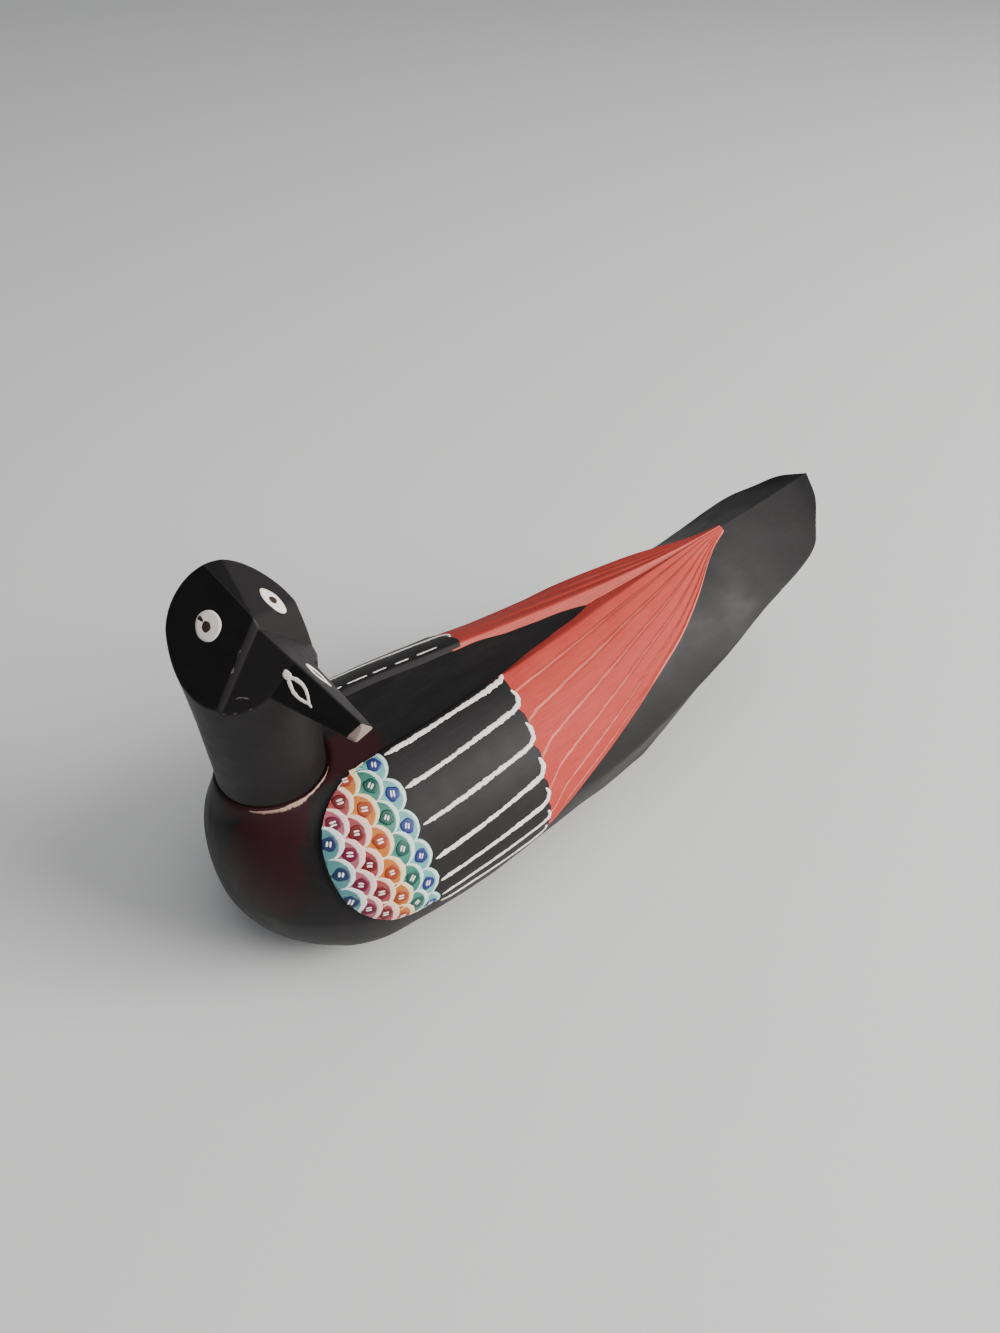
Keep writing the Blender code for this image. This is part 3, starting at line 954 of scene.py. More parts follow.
@dataclass(frozen=True)
class Seat:
    """The round seat of the neck, in the frame's millimetres."""

    x: float = -1.6
    y: float = -102.2
    height: float = 70.0
    radius: float = 15.8
    clearance: float = 0.4
    wall: float = 2.2
    fall: float = 3.0
    blend: float = 0.5

    def shape(self, points: np.ndarray, top: np.ndarray) -> np.ndarray:
        """Cut the seat flat where the back is higher, and carry it on a flare where the breast falls.

        The height becomes min(height, seat + wall * outside), then max(that, seat - fall * outside),
        where outside is the distance outside the seat's rim.

        Args:
            points: Points of the body.
            top: Whether each point is on the upper half.

        Returns:
            The shaped points.
        """
        outside = np.hypot(points[..., 0] - self.x, points[..., 1] - self.y) - self.radius - self.clearance
        z = np.minimum(points[..., 2], self.height + self.wall * np.maximum(outside, 0))
        cone = self.height - self.fall * np.maximum(outside, 0)
        raised = np.where(top & (outside < 6), soft_max([z, cone], self.blend), z)
        raised = np.where(outside <= 0, self.height, raised)
        return np.stack([points[..., 0], points[..., 1], np.where(top, raised, points[..., 2])], -1)


@dataclass
class SeatRim:
    """The worn edge of the neck's seat, where the pale wood shows."""

    seat: Seat
    span: Pair = (-50.0, 52.0)
    half_width: float = 0.40

    def build(self) -> bpy.types.Object:
        """A ragged pale band along the rim, seat radius + clearance, on the side towards the wing.

        Returns:
            The object.
        """
        turn = np.linspace(*np.radians(self.span), 120)
        chart = RimChart(self.seat)
        share = np.linspace(0, 1, len(turn))
        path = np.stack([turn * chart.radius(), 0.30 + 0.10 * np.sin(9 * share)], -1)
        swell = np.clip(np.sin(np.pi * share), 0, 1) ** 1.3
        half = self.half_width * swell * (1 + 0.25 * np.sin(17 * share))
        draft = Draft("seat.rim")
        Brush(draft, chart, sink=0.7).stroke(path, half, -0.04, 0.16, shake=0.4)
        return draft.build([BARE_WOOD.material()])


@dataclass
class BodyCarving:
    """The carved body without its wings."""

    form: BodyForm
    seat: Seat
    breast_rows: int = 64
    back_rows: int = 190
    tail_rows: int = 46
    tail_at: float = 0.43
    tail_reach: float = 0.07
    columns: tuple[int, int, int, int] = (16, 56, 44, 12)
    unevenness: float = 0.16
    panel_turns: tuple[float, float, float, float] = (-90.0, -68.0, -56.0, -30.0)
    panel_heights: Pair = (26.0, 50.0)
    panel_axis: float = -84.0
    nape_back: Pair = (-60.0, -80.0)
    nape_sides: tuple[float, float, float, float] = (-6.0, 5.0, 12.0, 19.0)
    nape_heights: Pair = (64.0, 67.0)
    rim_width: Pair = (0.030, 0.006)
    worn_end: Pair = (0.440, 0.462)
    chipped_end: Pair = (0.30, 0.34)

    def surface(self) -> tuple[np.ndarray, np.ndarray, np.ndarray]:
        """The skin on a grid of along and girth, closed round the belly, with softened arrises.

        Returns:
            Points, along and girth, rows by ring.
        """
        f = self.form
        breast = f.breast_at - f.breast_radius * np.cos(np.linspace(0, np.pi / 2, self.breast_rows))
        back = np.linspace(f.breast_at, self.tail_at, self.back_rows)[1:]
        bend = np.sin(np.linspace(0, np.pi / 2, self.tail_rows))[1:]
        tail = self.tail_at + self.tail_reach * bend
        rows = np.concatenate([breast, back, tail])
        parts = [np.linspace(start, start + 1, count, endpoint=False)
                 for start, count in zip((-1.0, 0.0, 1.0, 2.0), self.columns)]
        girths = np.concatenate(parts + [[3.0]])
        along, girth = np.meshgrid(rows, girths, indexing="ij")
        left = f.skin(along, girth)
        inner = slice(-2, 0, -1)
        points = np.concatenate([left, left[:, inner] * (-1, 1, 1)], axis=1)
        along = np.concatenate([along, along[:, inner]], axis=1)
        girth = np.concatenate([girth, girth[:, inner]], axis=1)
        points = worn(worn(points, 1, 3, ring=True), 0, 2)
        across = np.roll(points, -1, 1) - np.roll(points, 1, 1)
        normal = np.cross(across, np.gradient(points, axis=0))
        normal /= np.maximum(np.linalg.norm(normal, axis=-1, keepdims=True), 1e-9)
        x, y, z = np.moveaxis(points, -1, 0)
        dent = self.unevenness * (0.5 + 0.5 * ripple(y + 0.6 * z, x - 0.4 * z, 0.21, 2.0))
        dent = dent * fade(along, -0.499, -0.47) * fade(along, 0.498, 0.47)
        points = points - normal * dent[..., None]
        points[..., 2] = np.maximum(points[..., 2], 0)
        return self.seat.shape(points, girth <= 1.0), along, girth

    def build(self) -> bpy.types.Object:
        """Make the piece.

        Returns:
            The object.
        """
        points, along, girth = self.surface()
        draft = Draft("body.carving")
        draft.ring(points, place=points[..., [1, 0, 2]], zone=self._maroon(points),
                   bare=self._worn_edge(points, along, girth))
        return draft.build([BLACK.material()])

    def _maroon(self, points: np.ndarray) -> np.ndarray:
        """Where the maroon glaze lies: a panel on the breast and a patch at the nape.

        Args:
            points: Points of the body.

        Returns:
            Shares from 0 to 1.
        """
        x, y, z = np.moveaxis(points, -1, 0)
        turn = np.degrees(np.arctan2(y - self.panel_axis, x))
        start, full, lessens, end = self.panel_turns
        panel = fade(turn, start, full) * fade(turn, end, lessens) * fade(z, *self.panel_heights)
        panel = panel * (0.95 + 0.16 * ripple(x, z, 0.35, 1.0))
        start, full, lessens, end = self.nape_sides
        nape = fade(x, start, full) * fade(np.abs(x), end, lessens) * fade(y, *self.nape_back)
        return np.maximum(panel, 0.85 * nape * fade(z, *self.nape_heights))

    def _worn_edge(self, points: np.ndarray, along: np.ndarray, girth: np.ndarray) -> np.ndarray:
        """Where the paint is worn off the tail's edge: all along its end, and in chips before it.

        Args:
            points: Points of the body.
            along: Place of each along the body.
            girth: Its place round the section.

        Returns:
            Shares from 0 to 1.
        """
        rim = fade(np.abs(girth - 1), *self.rim_width)
        y = points[..., 1]
        chips = fade(0.5 + 0.5 * ripple(y, 0 * y, 0.55, 1.0), 0.80, 0.95)
        wear = 0.75 * fade(along, *self.worn_end) + 0.50 * fade(along, *self.chipped_end) * chips
        return np.clip(rim * wear, 0, 0.8)


@dataclass
class WingPlates:
    """The two raised plates of one wing."""

    form: WingForm
    side: Side
    covert_rows: int = 84
    flight_rows: int = 110
    bevel_columns: int = 8
    feather_columns: int = 15

    def _across(self, borders: Sequence[float]) -> np.ndarray:
        """Shares of the girth, evenly spaced in each feather.

        Args:
            borders: The feathers' borders.

        Returns:
            Rising shares from 0 to 1.
        """
        return np.concatenate([a + (b - a) * np.linspace(0, 1, self.feather_columns, endpoint=False)
                               for a, b in zip(borders[:-1], borders[1:])] + [[borders[-1]]])

    def _plate(self, name: str, material: bpy.types.Material, along: np.ndarray, girth: np.ndarray,
               foot: np.ndarray, relief: np.ndarray, root: float, **marks: np.ndarray) -> bpy.types.Object:
        """Close a plate and make its object.

        Args:
            name: The object's name.
            material: Its paint.
            along: Grid of places along the body.
            girth: Grid of girths.
            foot: Girth of the foot line in each row, as a column.
            relief: Grid of heights.
            root: Depth of the root.
            **marks: Per-point numbers.

        Returns:
            The object.
        """
        bevel = foot * np.linspace(1, 0, self.bevel_columns, endpoint=False)
        inner = np.repeat(along[:, :1], self.bevel_columns, axis=1)
        along = np.concatenate([inner, along], axis=1)
        girth = np.concatenate([bevel, girth], axis=1)
        relief = np.concatenate([np.repeat(relief[:, :1], self.bevel_columns, axis=1), relief], axis=1)
        wide_foot = np.broadcast_to(foot, along.shape)
        sink = self.form.foot_sink * root * fade(along, 0.085, 0.02) - 0.25 * fade(along, 0.05, 0.088)
        top = self.form.bevelled(along, girth, wide_foot, relief, sink)
        top = worn(top, 1, 2)
        under = self.form.under(along, girth, root)
        marks = {key: np.concatenate([np.repeat(value[:, :1], self.bevel_columns, axis=1), value], axis=1)
                 for key, value in marks.items()}
        # Painted light on the inner bevel of the flight feathers: none on the left wing, lighter coral on
        # the right wing's bevel, which faces the light.
        if "zone" in marks:
            marks["zone"][:, :self.bevel_columns] = 0.0 if self.side is Side.LEFT else 0.55
        marks["place"] = np.stack([along * self.form.body.length, girth * GIRTH, 0 * girth], -1)
        draft = Draft(f"{name}.{self.side.name.lower()}")
        mirror = (self.side.value, 1, 1)
        draft.slab(top * mirror, under * mirror, **marks)
        return draft.build([material])

    def coverts(self, material: bpy.types.Material) -> bpy.types.Object:
        """The shoulder with six broad feathers, each with a rounded lower corner.

        Args:
            material: Its paint.

        Returns:
            The object.
        """
        form = self.form
        down, across = np.meshgrid(dense_ends(self.covert_rows), self._across(form.borders), indexing="ij")
        front, rear = form.front(across), form.covert_rear(across)
        along = front + (rear - front) * down
        girth = across * profile(along, form.girth)
        length = form.body.length
        edge = quarter_round((along - front) * length + 0.25, 0.9)
        edge = edge * quarter_round((rear - along) * length + 0.2, 0.7)
        edge = edge * quarter_round((1 - across) * 1.2 * GIRTH + 0.2, 0.8)
        relief = form.covert_relief(along, across) * edge
        relief = relief - 0.05 * (1 + ripple(along * length, girth * GIRTH, 0.35, 5.0))
        foot = profile(along[:, :1], form.covert_foot)
        return self._plate("coverts", material, along, girth, foot, relief, form.root)

    def flight(self, material: bpy.types.Material) -> bpy.types.Object:
        """The long feathers: a fan of stepped facets meeting at the wing's tip, with painted highlights.

        Args:
            material: Its paint.

        Returns:
            The object.
        """
        form = self.form
        rows = np.linspace(0, 1, self.flight_rows)
        down, across = np.meshgrid(rows, self._across(form.flight_borders), indexing="ij")
        start = form.covert_end[0] + form.covert_end[1] * across - form.overlap
        along = start + (form.tip_at - start) * down
        girth = across * profile(along, form.rear_edge)
        feather, share = find_feather(form.flight_borders, across)
        share = np.where(across >= 1, 1.0, share)
        height = np.where(feather == 0, 1.0, fade(share, 0, 0.10)) * (1 - share) ** 0.85
        rise = form.tip_relief - form.relief + form.covert_step
        swell = form.relief - form.covert_step + rise * down ** 2
        step = form.feather_step * np.sqrt(np.sin(np.pi * np.clip((down - 0.1) / 0.9, 0, 1)))
        relief = swell - step * (1 - height)
        out = (1 - across) * profile(along, form.rear_edge) * GIRTH
        relief = relief * (0.45 + 0.55 * quarter_round(out + 0.1, 0.9))
        # Painted highlights in lighter coral: a line along each feather's step, a lip that fades across each
        # feather, and a rim along the wing's rear edge.
        crease_highlight = np.exp(-((share - 0.07) / 0.06) ** 2) * (feather > 0) * fade(down, 0.0, 0.06)
        edge = fade(out, 1.5, 0.4) * fade(down, 0.25, 0.6)
        lip_highlight = 0.46 * np.exp(-share / 0.3) * (feather > 0)
        zone = np.maximum(np.maximum(0.75 * crease_highlight, lip_highlight), edge * 0.8)
        # The right wing faces away from the light and gets less of them: painted shade.
        zone = zone * (1.0 if self.side is Side.LEFT else 0.3)
        foot = profile(along[:, :1], form.flight_foot)
        return self._plate("flight_feathers", material, along, girth, foot, relief,
                           form.flight_root, zone=zone)


# Paint laid on as thin strokes


class Chart:
    """A flat map in millimetres that is laid on a surface."""

    def place(self, u: np.ndarray, v: np.ndarray, lift: np.ndarray) -> np.ndarray:
        """Points on the surface.

        Args:
            u: First map coordinate.
            v: Second map coordinate.
            lift: Height over the surface.

        Returns:
            Points in millimetres.
        """
        raise NotImplementedError


@dataclass
class WingChart(Chart):
    """Map of the coverts: u runs along the body and v round the girth."""

    form: WingForm
    side: Side

    def place(self, u: np.ndarray, v: np.ndarray, lift: np.ndarray) -> np.ndarray:
        """Points over the coverts: along = u / length, girth = v / GIRTH.

        Args:
            u: Millimetres along the body.
            v: Millimetres round the girth from the ridge.
            lift: Height over the coverts.

        Returns:
            Points in millimetres.
        """
        u, v, lift = np.broadcast_arrays(u, v, lift)
        along, girth = u / self.form.body.length, v / GIRTH
        across = np.clip(girth / profile(along, self.form.girth), 0, 1)
        relief = self.form.covert_relief(along, across) + lift
        foot = profile(along, self.form.covert_foot)
        points = self.form.bevelled(along, girth, foot, relief, self.form.foot_sink * self.form.root)
        return points * (self.side.value, 1, 1)


@dataclass
class FlatChart(Chart):
    """Map of a flat facet."""

    centre: np.ndarray
    first: np.ndarray
    second: np.ndarray

    def place(self, u: np.ndarray, v: np.ndarray, lift: np.ndarray) -> np.ndarray:
        """centre + u * first + v * second + lift * normal.

        Args:
            u: Millimetres along the first direction.
            v: Millimetres along the second.
            lift: Height over the facet.

        Returns:
            Points in millimetres.
        """
        u, v, lift = (np.asarray(n, dtype=float)[..., None] for n in np.broadcast_arrays(u, v, lift))
        normal = np.cross(self.first, self.second)
        return self.centre + u * self.first + v * self.second + lift * normal


@dataclass
class RimChart(Chart):
    """Map of the neck's seat: u runs round its rim and v outwards from it."""

    seat: Seat
    climb: Pair = (6.0, 26.0)
    back: float = 0.75

    def radius(self) -> float:
        """Radius of the rim.

        Returns:
            Millimetres.
        """
        return self.seat.radius + self.seat.clearance

    def place(self, u: np.ndarray, v: np.ndarray, lift: np.ndarray) -> np.ndarray:
        """Points round the seat's axis: turn = u / rim radius, reach = rim radius + v.

        Args:
            u: Millimetres round the rim from the bird's left.
            v: Millimetres outwards.
            lift: Height over the rim, which climbs from the seat to the back's edge.

        Returns:
            Points in millimetres.
        """
        turn, reach = u / self.radius(), self.radius() + v
        rise = self.back * fade(np.degrees(turn), *self.climb)
        fall = 0.9 * np.maximum(v, 0) * (1 - rise / self.back)
        return np.stack([self.seat.x + reach * np.cos(turn), self.seat.y + reach * np.sin(turn),
                         self.seat.height + rise - fall + lift], -1)


@dataclass
class Brush:
    """Lays thin closed strokes and dabs of paint on a chart."""

    draft: Draft
    chart: Chart
    sink: float = 0.35

    def stroke(self, path: np.ndarray, half_width: np.ndarray, lift: float, thickness: float, slot: int = 0,
               columns: int = 7, shake: float = 0.0, phase: float = 0.0) -> None:
        """A ribbon along a path, domed across, with its sides turned down into the surface.

        Each point is path + across * half_width * normal, its height lift + thickness *
        sqrt(1 - across to the fourth). Both edges waver on their own.

        Args:
            path: Rows of (u, v).
            half_width: Half the width at each row; 0 at both ends closes the ribbon.
            lift: Height of its rim.
            thickness: Height of its middle over the rim.
            slot: Index of its material.
            columns: Points across.
            shake: How far the edges waver, as a share of the half width.
            phase: Makes one stroke's wavering differ from another's.
        """
        ahead = np.gradient(path, axis=0)
        ahead /= np.maximum(np.linalg.norm(ahead, axis=1, keepdims=True), 1e-9)
        square = np.stack([-ahead[:, 1], ahead[:, 0]], -1)
        length = np.concatenate([[0], np.cumsum(np.linalg.norm(np.diff(path, axis=0), axis=1))])
        across = np.linspace(-1, 1, columns)
        rows = np.abs(across)[None] ** 0.5
        waver = np.where(across[None] < 0, ripple(length, 0 * length, 1.9, phase)[:, None],
                         ripple(length, 0 * length + 3, 2.3, phase + 4)[:, None])
        wide = half_width[:, None] * (1 + shake * rows * waver) * across[None]
        u = path[:, :1] + square[:, :1] * wide
        v = path[:, 1:] + square[:, 1:] * wide
        full = np.minimum(half_width / max(half_width.max(), 1e-9) * 1.5, 1.0)[:, None]
        height = lift + thickness * np.sqrt(1 - across[None] ** 4) * full
        top = self.chart.place(u, v, height)
        low = self.chart.place(u[:, ::-1], v[:, ::-1], np.full_like(u, -self.sink))
        points = np.concatenate([top, low], axis=1)
        place = np.stack([np.broadcast_to(length[:, None], u.shape), wide, 0 * wide + phase], -1)
        self.draft.ring(points, slot, place=np.concatenate([place, place[:, ::-1]], axis=1))

    def dab(self, centre: Pair, radius: np.ndarray, lift: float, thickness: float,
            slot: int = 0, rings: int = 5, clip: Callable | None = None,
            zone: Callable | None = None) -> None:
        """A closed patch round a centre: a low dome whose rim turns down into the surface.

        Args:
            centre: (u, v) of the middle.
            radius: Rows of (u, v) from the centre to the rim, all the way round.
            lift: Height of the rim.
            thickness: Height of the middle over the rim.
            slot: Index of its material.
            rings: Rings of points.
            clip: Function of u and v that returns both held inside an outline.
            zone: Function of the offset from the centre in millimetres, for the second colour.
        """
        share = np.linspace(0, 1, rings)[:, None]
        u, v = centre[0] + share * radius[None, :, 0], centre[1] + share * radius[None, :, 1]
        if clip is not None:
            u, v = clip(u, v)
        height = lift + thickness * np.sqrt(1 - share ** 4) + 0 * u
        top = self.chart.place(u, v, height)
        low = self.chart.place(u[::-1], v[::-1], np.full_like(u, -self.sink))
        points = np.concatenate([top, low])
        place = np.stack([u, v, 0 * u + lift], -1)
        marks = {"place": np.concatenate([place, place[::-1]])}
        if zone is not None:
            tone = zone(u - centre[0], v - centre[1])
            marks["zone"] = np.concatenate([tone, tone[::-1]])
        self.draft.ring(points, slot, **marks)


def circle(radius: float, count: int, shake: float = 0.0, phase: float = 0.0) -> np.ndarray:
    """A round outline with a wavering edge.

    Args:
        radius: Mean radius.
        count: Points round it.
        shake: Share of the radius by which it wavers.
        phase: Makes one outline differ from another.

    Returns:
        Rows of (u, v).
    """
    turn = np.arange(count) / count * 2 * np.pi
    reach = radius * (1 + shake * (0.6 * np.sin(3 * turn + phase) + 0.4 * np.sin(5 * turn + 2.3 * phase)))
    return np.stack([reach * np.cos(turn), reach * np.sin(turn)], -1)


def curve_through(points: Sequence[Pair], step: float) -> np.ndarray:
    """An even, smooth path through points: cubic segments with slopes from the neighbours.

    Args:
        points: (u, v) pairs.
        step: Distance between the rows returned.

    Returns:
        Rows of (u, v).
    """
    knots = np.array(points, dtype=float)
    gap = np.sqrt(np.linalg.norm(np.diff(knots, axis=0), axis=1))
    at = np.concatenate([[0], np.cumsum(gap)])
    slope = np.gradient(knots, at, axis=0)
    t = np.linspace(0, at[-1], 400)
    i = np.clip(np.searchsorted(at, t) - 1, 0, len(at) - 2)
    width = (at[i + 1] - at[i])[:, None]
    s = ((t - at[i])[:, None]) / width
    path = ((1 + 2 * s) * (1 - s) ** 2 * knots[i] + s * s * (3 - 2 * s) * knots[i + 1]
            + width * (s * (1 - s) ** 2 * slope[i] + s * s * (s - 1) * slope[i + 1]))
    length = np.concatenate([[0], np.cumsum(np.linalg.norm(np.diff(path, axis=0), axis=1))])
    even = np.linspace(0, length[-1], max(int(length[-1] / step), 4))
    return np.stack([np.interp(even, length, path[:, k]) for k in (0, 1)], -1)


@dataclass(frozen=True)
class ScaleHue:
    """The paints of one row of scales: fill, deep fill, dot and rim."""

    name: str
    fill: Colour
    deep: Colour
    dot: Colour
    dot_light: Colour
    rim: Colour

    def materials(self) -> list[bpy.types.Material]:
        """Make the row's three materials.

        Returns:
            Fill, dot and rim.
        """
        fill = PaintedWood(f"{self.name} fill", self.fill, self.deep, zone=self.deep, streak=0.3)
        dot = PaintedWood(f"{self.name} dot", self.dot, self.dot_light, streak=0.5)
        rim = PaintedWood(f"{self.name} rim", self.rim, self.rim, streak=0.2, speck=0.1)
        return [fill.material(), dot.material(), rim.material()]


HUES = (
    ScaleHue("blue", (0.10, 0.33, 0.31), (0.20, 0.48, 0.45), (0.010, 0.017, 0.12), (0.022, 0.04, 0.21),
             (0.54, 0.71, 0.67)),
    ScaleHue("green", (0.022, 0.15, 0.105), (0.07, 0.28, 0.22), (0.005, 0.055, 0.04), (0.015, 0.10, 0.07),
             (0.60, 0.74, 0.64)),
    ScaleHue("orange", (0.46, 0.125, 0.012), (0.55, 0.22, 0.05), (0.27, 0.036, 0.008), (0.36, 0.07, 0.02),
             (0.82, 0.62, 0.38)),
    ScaleHue("red", (0.28, 0.044, 0.048), (0.38, 0.10, 0.095), (0.12, 0.007, 0.010), (0.21, 0.022, 0.022),
             (0.82, 0.54, 0.44)),
    ScaleHue("magenta", (0.31, 0.075, 0.10), (0.42, 0.17, 0.20), (0.11, 0.004, 0.024), (0.2, 0.012, 0.045),
             (0.82, 0.57, 0.51)),
    ScaleHue("teal", (0.06, 0.18, 0.185), (0.15, 0.30, 0.30), (0.009, 0.02, 0.06), (0.022, 0.05, 0.13),
             (0.66, 0.73, 0.70)),
)


@dataclass
class ScalePatch:
    """The fish scales on one shoulder: rows of one colour, each row lapping over the one behind it."""

    form: WingForm
    side: Side
    columns: tuple[float, ...] = (-0.317, -0.3345, -0.3535, -0.3727, -0.389, -0.404)
    first: float = 0.055
    pitch: float = 0.205
    count: int = 7
    limits: Pair = (-0.06, 1.20)
    dot_limits: Pair = (0.02, 1.09)
    pinch: float = 0.05
    rear_pinch: float = 0.015
    radius: float = 5.4
    forward: float = 1.75
    rim_radii: Pair = (4.8, 4.95)
    dash_turns: tuple[float, ...] = (-60.0, -43.0, 10.0, 15.0, 15.0, -60.0)
    crescents: tuple[float, ...] = (0.62, 0.70, 0.80, 0.92, 0.92, 0.82)
    dot: float = 2.1
    layer: float = 0.03

    def _clip(self, u: np.ndarray, v: np.ndarray) -> tuple[np.ndarray, np.ndarray]:
        """Hold map places inside the patch's outline.

        Args:
            u: Millimetres along the body.
            v: Millimetres round the girth.

        Returns:
            u and v inside the outline.
        """
        low = self.form.girth[0][1]
        v = np.clip(v, 0.4, (low - 0.006) * GIRTH)
        across = np.clip(v / GIRTH / low, 0, 1)
        return np.maximum(u, self.form.front(across) * self.form.body.length + 0.55), v

    def build(self, materials: list[bpy.types.Material]) -> bpy.types.Object:
        """Make the piece.

        Args:
            materials: Fill, dot and rim of each hue in turn, then white.

        Returns:
            The object.
        """
        draft = Draft(f"scales.{self.side.name.lower()}")
        brush = Brush(draft, WingChart(self.form, self.side))
        white = len(materials) - 1
        length = self.form.body.length
        for row, at in enumerate(self.columns):
            lift = self.layer * (2 * row + 1)
            for k in range(-1, self.count):
                girth = self.first + self.pitch * (k + 0.5 * (row % 2))
                pinch = self.pinch if row > 1 else self.rear_pinch
                girth -= pinch * float(fade(np.array(girth), 0.72, 1.1))
                dot = (at * length, girth * GIRTH)
                centre = (dot[0] - self.forward, dot[1])
                across = np.clip(girth / self.form.girth[0][1], 0, 1)
                front = float(self.form.front(np.array(across))) * length
                if centre[0] + self.radius < front + 0.5:
                    continue
                if girth > self.limits[1] or girth < self.limits[0]:
                    continue
                phase = 1.7 * k + 2.9 * row
                shift = 0.25 * math.sin(5.1 * phase)
                centre = (centre[0] + shift, centre[1] + 0.3 * math.cos(3.3 * phase))
                brush.dab(centre, circle(self.radius, 40, 0.02, phase), lift, 0.05, 3 * row,
                          clip=self._clip, zone=lambda du, dv: fade(-du, -1.0, 3.5))
                self._rim(brush, centre, lift + 0.05, row, phase)
                if dot[0] - 0.6 > front and self.dot_limits[0] < girth < self.dot_limits[1]:
                    turn = math.radians(self.dash_turns[row] + 9 * math.sin(2.7 * phase))
                    self._dot(brush, (dot[0] + shift, dot[1]), lift + 0.05, 3 * row + 1, white, turn, phase)
        return draft.build(materials)

    def _rim(self, brush: Brush, centre: Pair, lift: float, row: int, phase: float) -> None:
        """The pale crescent round a scale's rear edge. It thins out where the patch's outline holds it.

        Args:
            brush: Brush to lay it with.
            centre: The scale's (u, v).
            lift: Height over the wing.
            row: Index of the scale's row.
            phase: Makes one rim differ from another.
        """
        turns = np.linspace(-1.55, 1.50, 38)
        arc_u = centre[0] + self.rim_radii[0] * np.cos(turns) + 0.12 * math.sin(2 * phase)
        arc_v = centre[1] + self.rim_radii[1] * np.sin(turns)
        path = np.stack(self._clip(arc_u, arc_v), -1)
        held = np.hypot(path[:, 0] - arc_u, path[:, 1] - arc_v) > 0.25
        bow = np.clip(np.sin(np.linspace(0, np.pi, len(turns))), 0, 1)
        half = (self.crescents[row] + 0.10 * math.sin(1.3 * phase)) * bow * np.where(held, 0.2, 1.0)
        brush.stroke(path, half, lift, 0.06, 3 * row + 2, shake=0.14, phase=phase)

    def _dot(self, brush: Brush, centre: Pair, lift: float, slot: int, white: int,
             turn: float, phase: float) -> None:
        """The dark dot of a scale, with two short white dashes.

        Args:
            brush: Brush to lay it with.
            centre: Its (u, v).
            lift: Height over the wing.
            slot: Index of the dot's paint.
            white: Index of the white paint.
            turn: Direction of the dashes, in radians.
            phase: Makes one dot differ from another.
        """
        brush.dab(centre, circle(self.dot, 32, 0.10, phase), lift, 0.05, slot, clip=self._clip)
        way = np.array((math.cos(turn), math.sin(turn)))
        square = np.array((-way[1], way[0]))
        for gap in (-0.42, 0.42):
            t = np.linspace(-1, 1, 9)[:, None]
            path = np.array(centre) + way * t * (0.88 + 0.12 * math.sin(phase)) + square * gap
            half = 0.27 * np.sqrt(1 - np.linspace(-1, 1, 9) ** 6)
            brush.stroke(path, half, lift + 0.05, 0.05, white, columns=5, shake=0.2, phase=phase + gap)


@dataclass
class FeatherLines:
    """The white lines between the coverts. Each turns up round the end of its feather."""

    form: WingForm
    side: Side
    starts: tuple[float, ...] = (0.035, 0.27, 0.51, 0.745, 0.915, 1.055, 1.15)
    ends: tuple[float, ...] = (0.032, 0.235, 0.475, 0.69, 0.88, 1.02, 1.165)
    rears: tuple[float, ...] = (-0.1135, -0.1135, -0.120, -0.1245, -0.1275, -0.1305, -0.1335)
    half_width: float = 0.66
    dashes: tuple[Pair, ...] = ((0.02, 0.12), (0.15, 0.30), (0.33, 0.44), (0.49, 0.60), (0.65, 0.81))

    def build(self, material: bpy.types.Material) -> bpy.types.Object:
        """Make the piece.

        Args:
            material: White paint.

        Returns:
            The object.
        """
        draft = Draft(f"feather_lines.{self.side.name.lower()}")
        brush = Brush(draft, WingChart(self.form, self.side))
        for k, (start, end, rear) in enumerate(zip(self.starts, self.ends, self.rears)):
            last = k == len(self.starts) - 1
            hook = 0.58 * (self.ends[k] - self.ends[k - 1]) if k else 0.05
            knots = [(-0.3005, start), (-0.25, start + 0.25 * (end - start)),
                     (-0.20, start + 0.55 * (end - start)), (rear - 0.030, end + 0.006),
                     (rear - 0.012, end - 0.02 * hook), (rear - 0.0038, end - 0.20 * hook),
                     (rear, end - 0.55 * hook), (rear - 0.0008, end - 0.80 * hook),
                     (rear - 0.0030, end - hook)]
            path = curve_through([(a * self.form.body.length, g * GIRTH) for a, g in knots], 0.35)
            t = np.linspace(0, 1, len(path))
            ends = np.sqrt(np.clip(1 - np.abs(2 * t - 1) ** 40, 0, 1))
            half = self.half_width * ends * (1 + 0.12 * np.sin(9 * t + 2 * k) + 0.22 * fade(t, 0.5, 0.9))
            half = half * (0.45 + 0.55 * fade(t, 0.0, 0.07)) * (0.62 + 0.38 * fade(t, 1.0, 0.93))
            if k == 0 and self.side is Side.RIGHT:
                self._dashes(brush, path)
                continue
            brush.stroke(path, half * (0.75 if last else 1.0), 0.04, 0.09, shake=0.22, phase=3.1 * k)
        return draft.build([material])

    def _dashes(self, brush: Brush, path: np.ndarray) -> None:
        """The right wing's first line, where the brush only touched the ridge here and there.

        Args:
            brush: Brush to lay them with.
            path: The whole line.
        """
        for first, last in self.dashes:
            part = path[int(first * len(path)):int(last * len(path))]
            half = 0.30 * np.sqrt(1 - np.linspace(-1, 1, len(part)) ** 6)
            brush.stroke(part, half, 0.04, 0.06, shake=0.3, phase=7 * first)


# The head


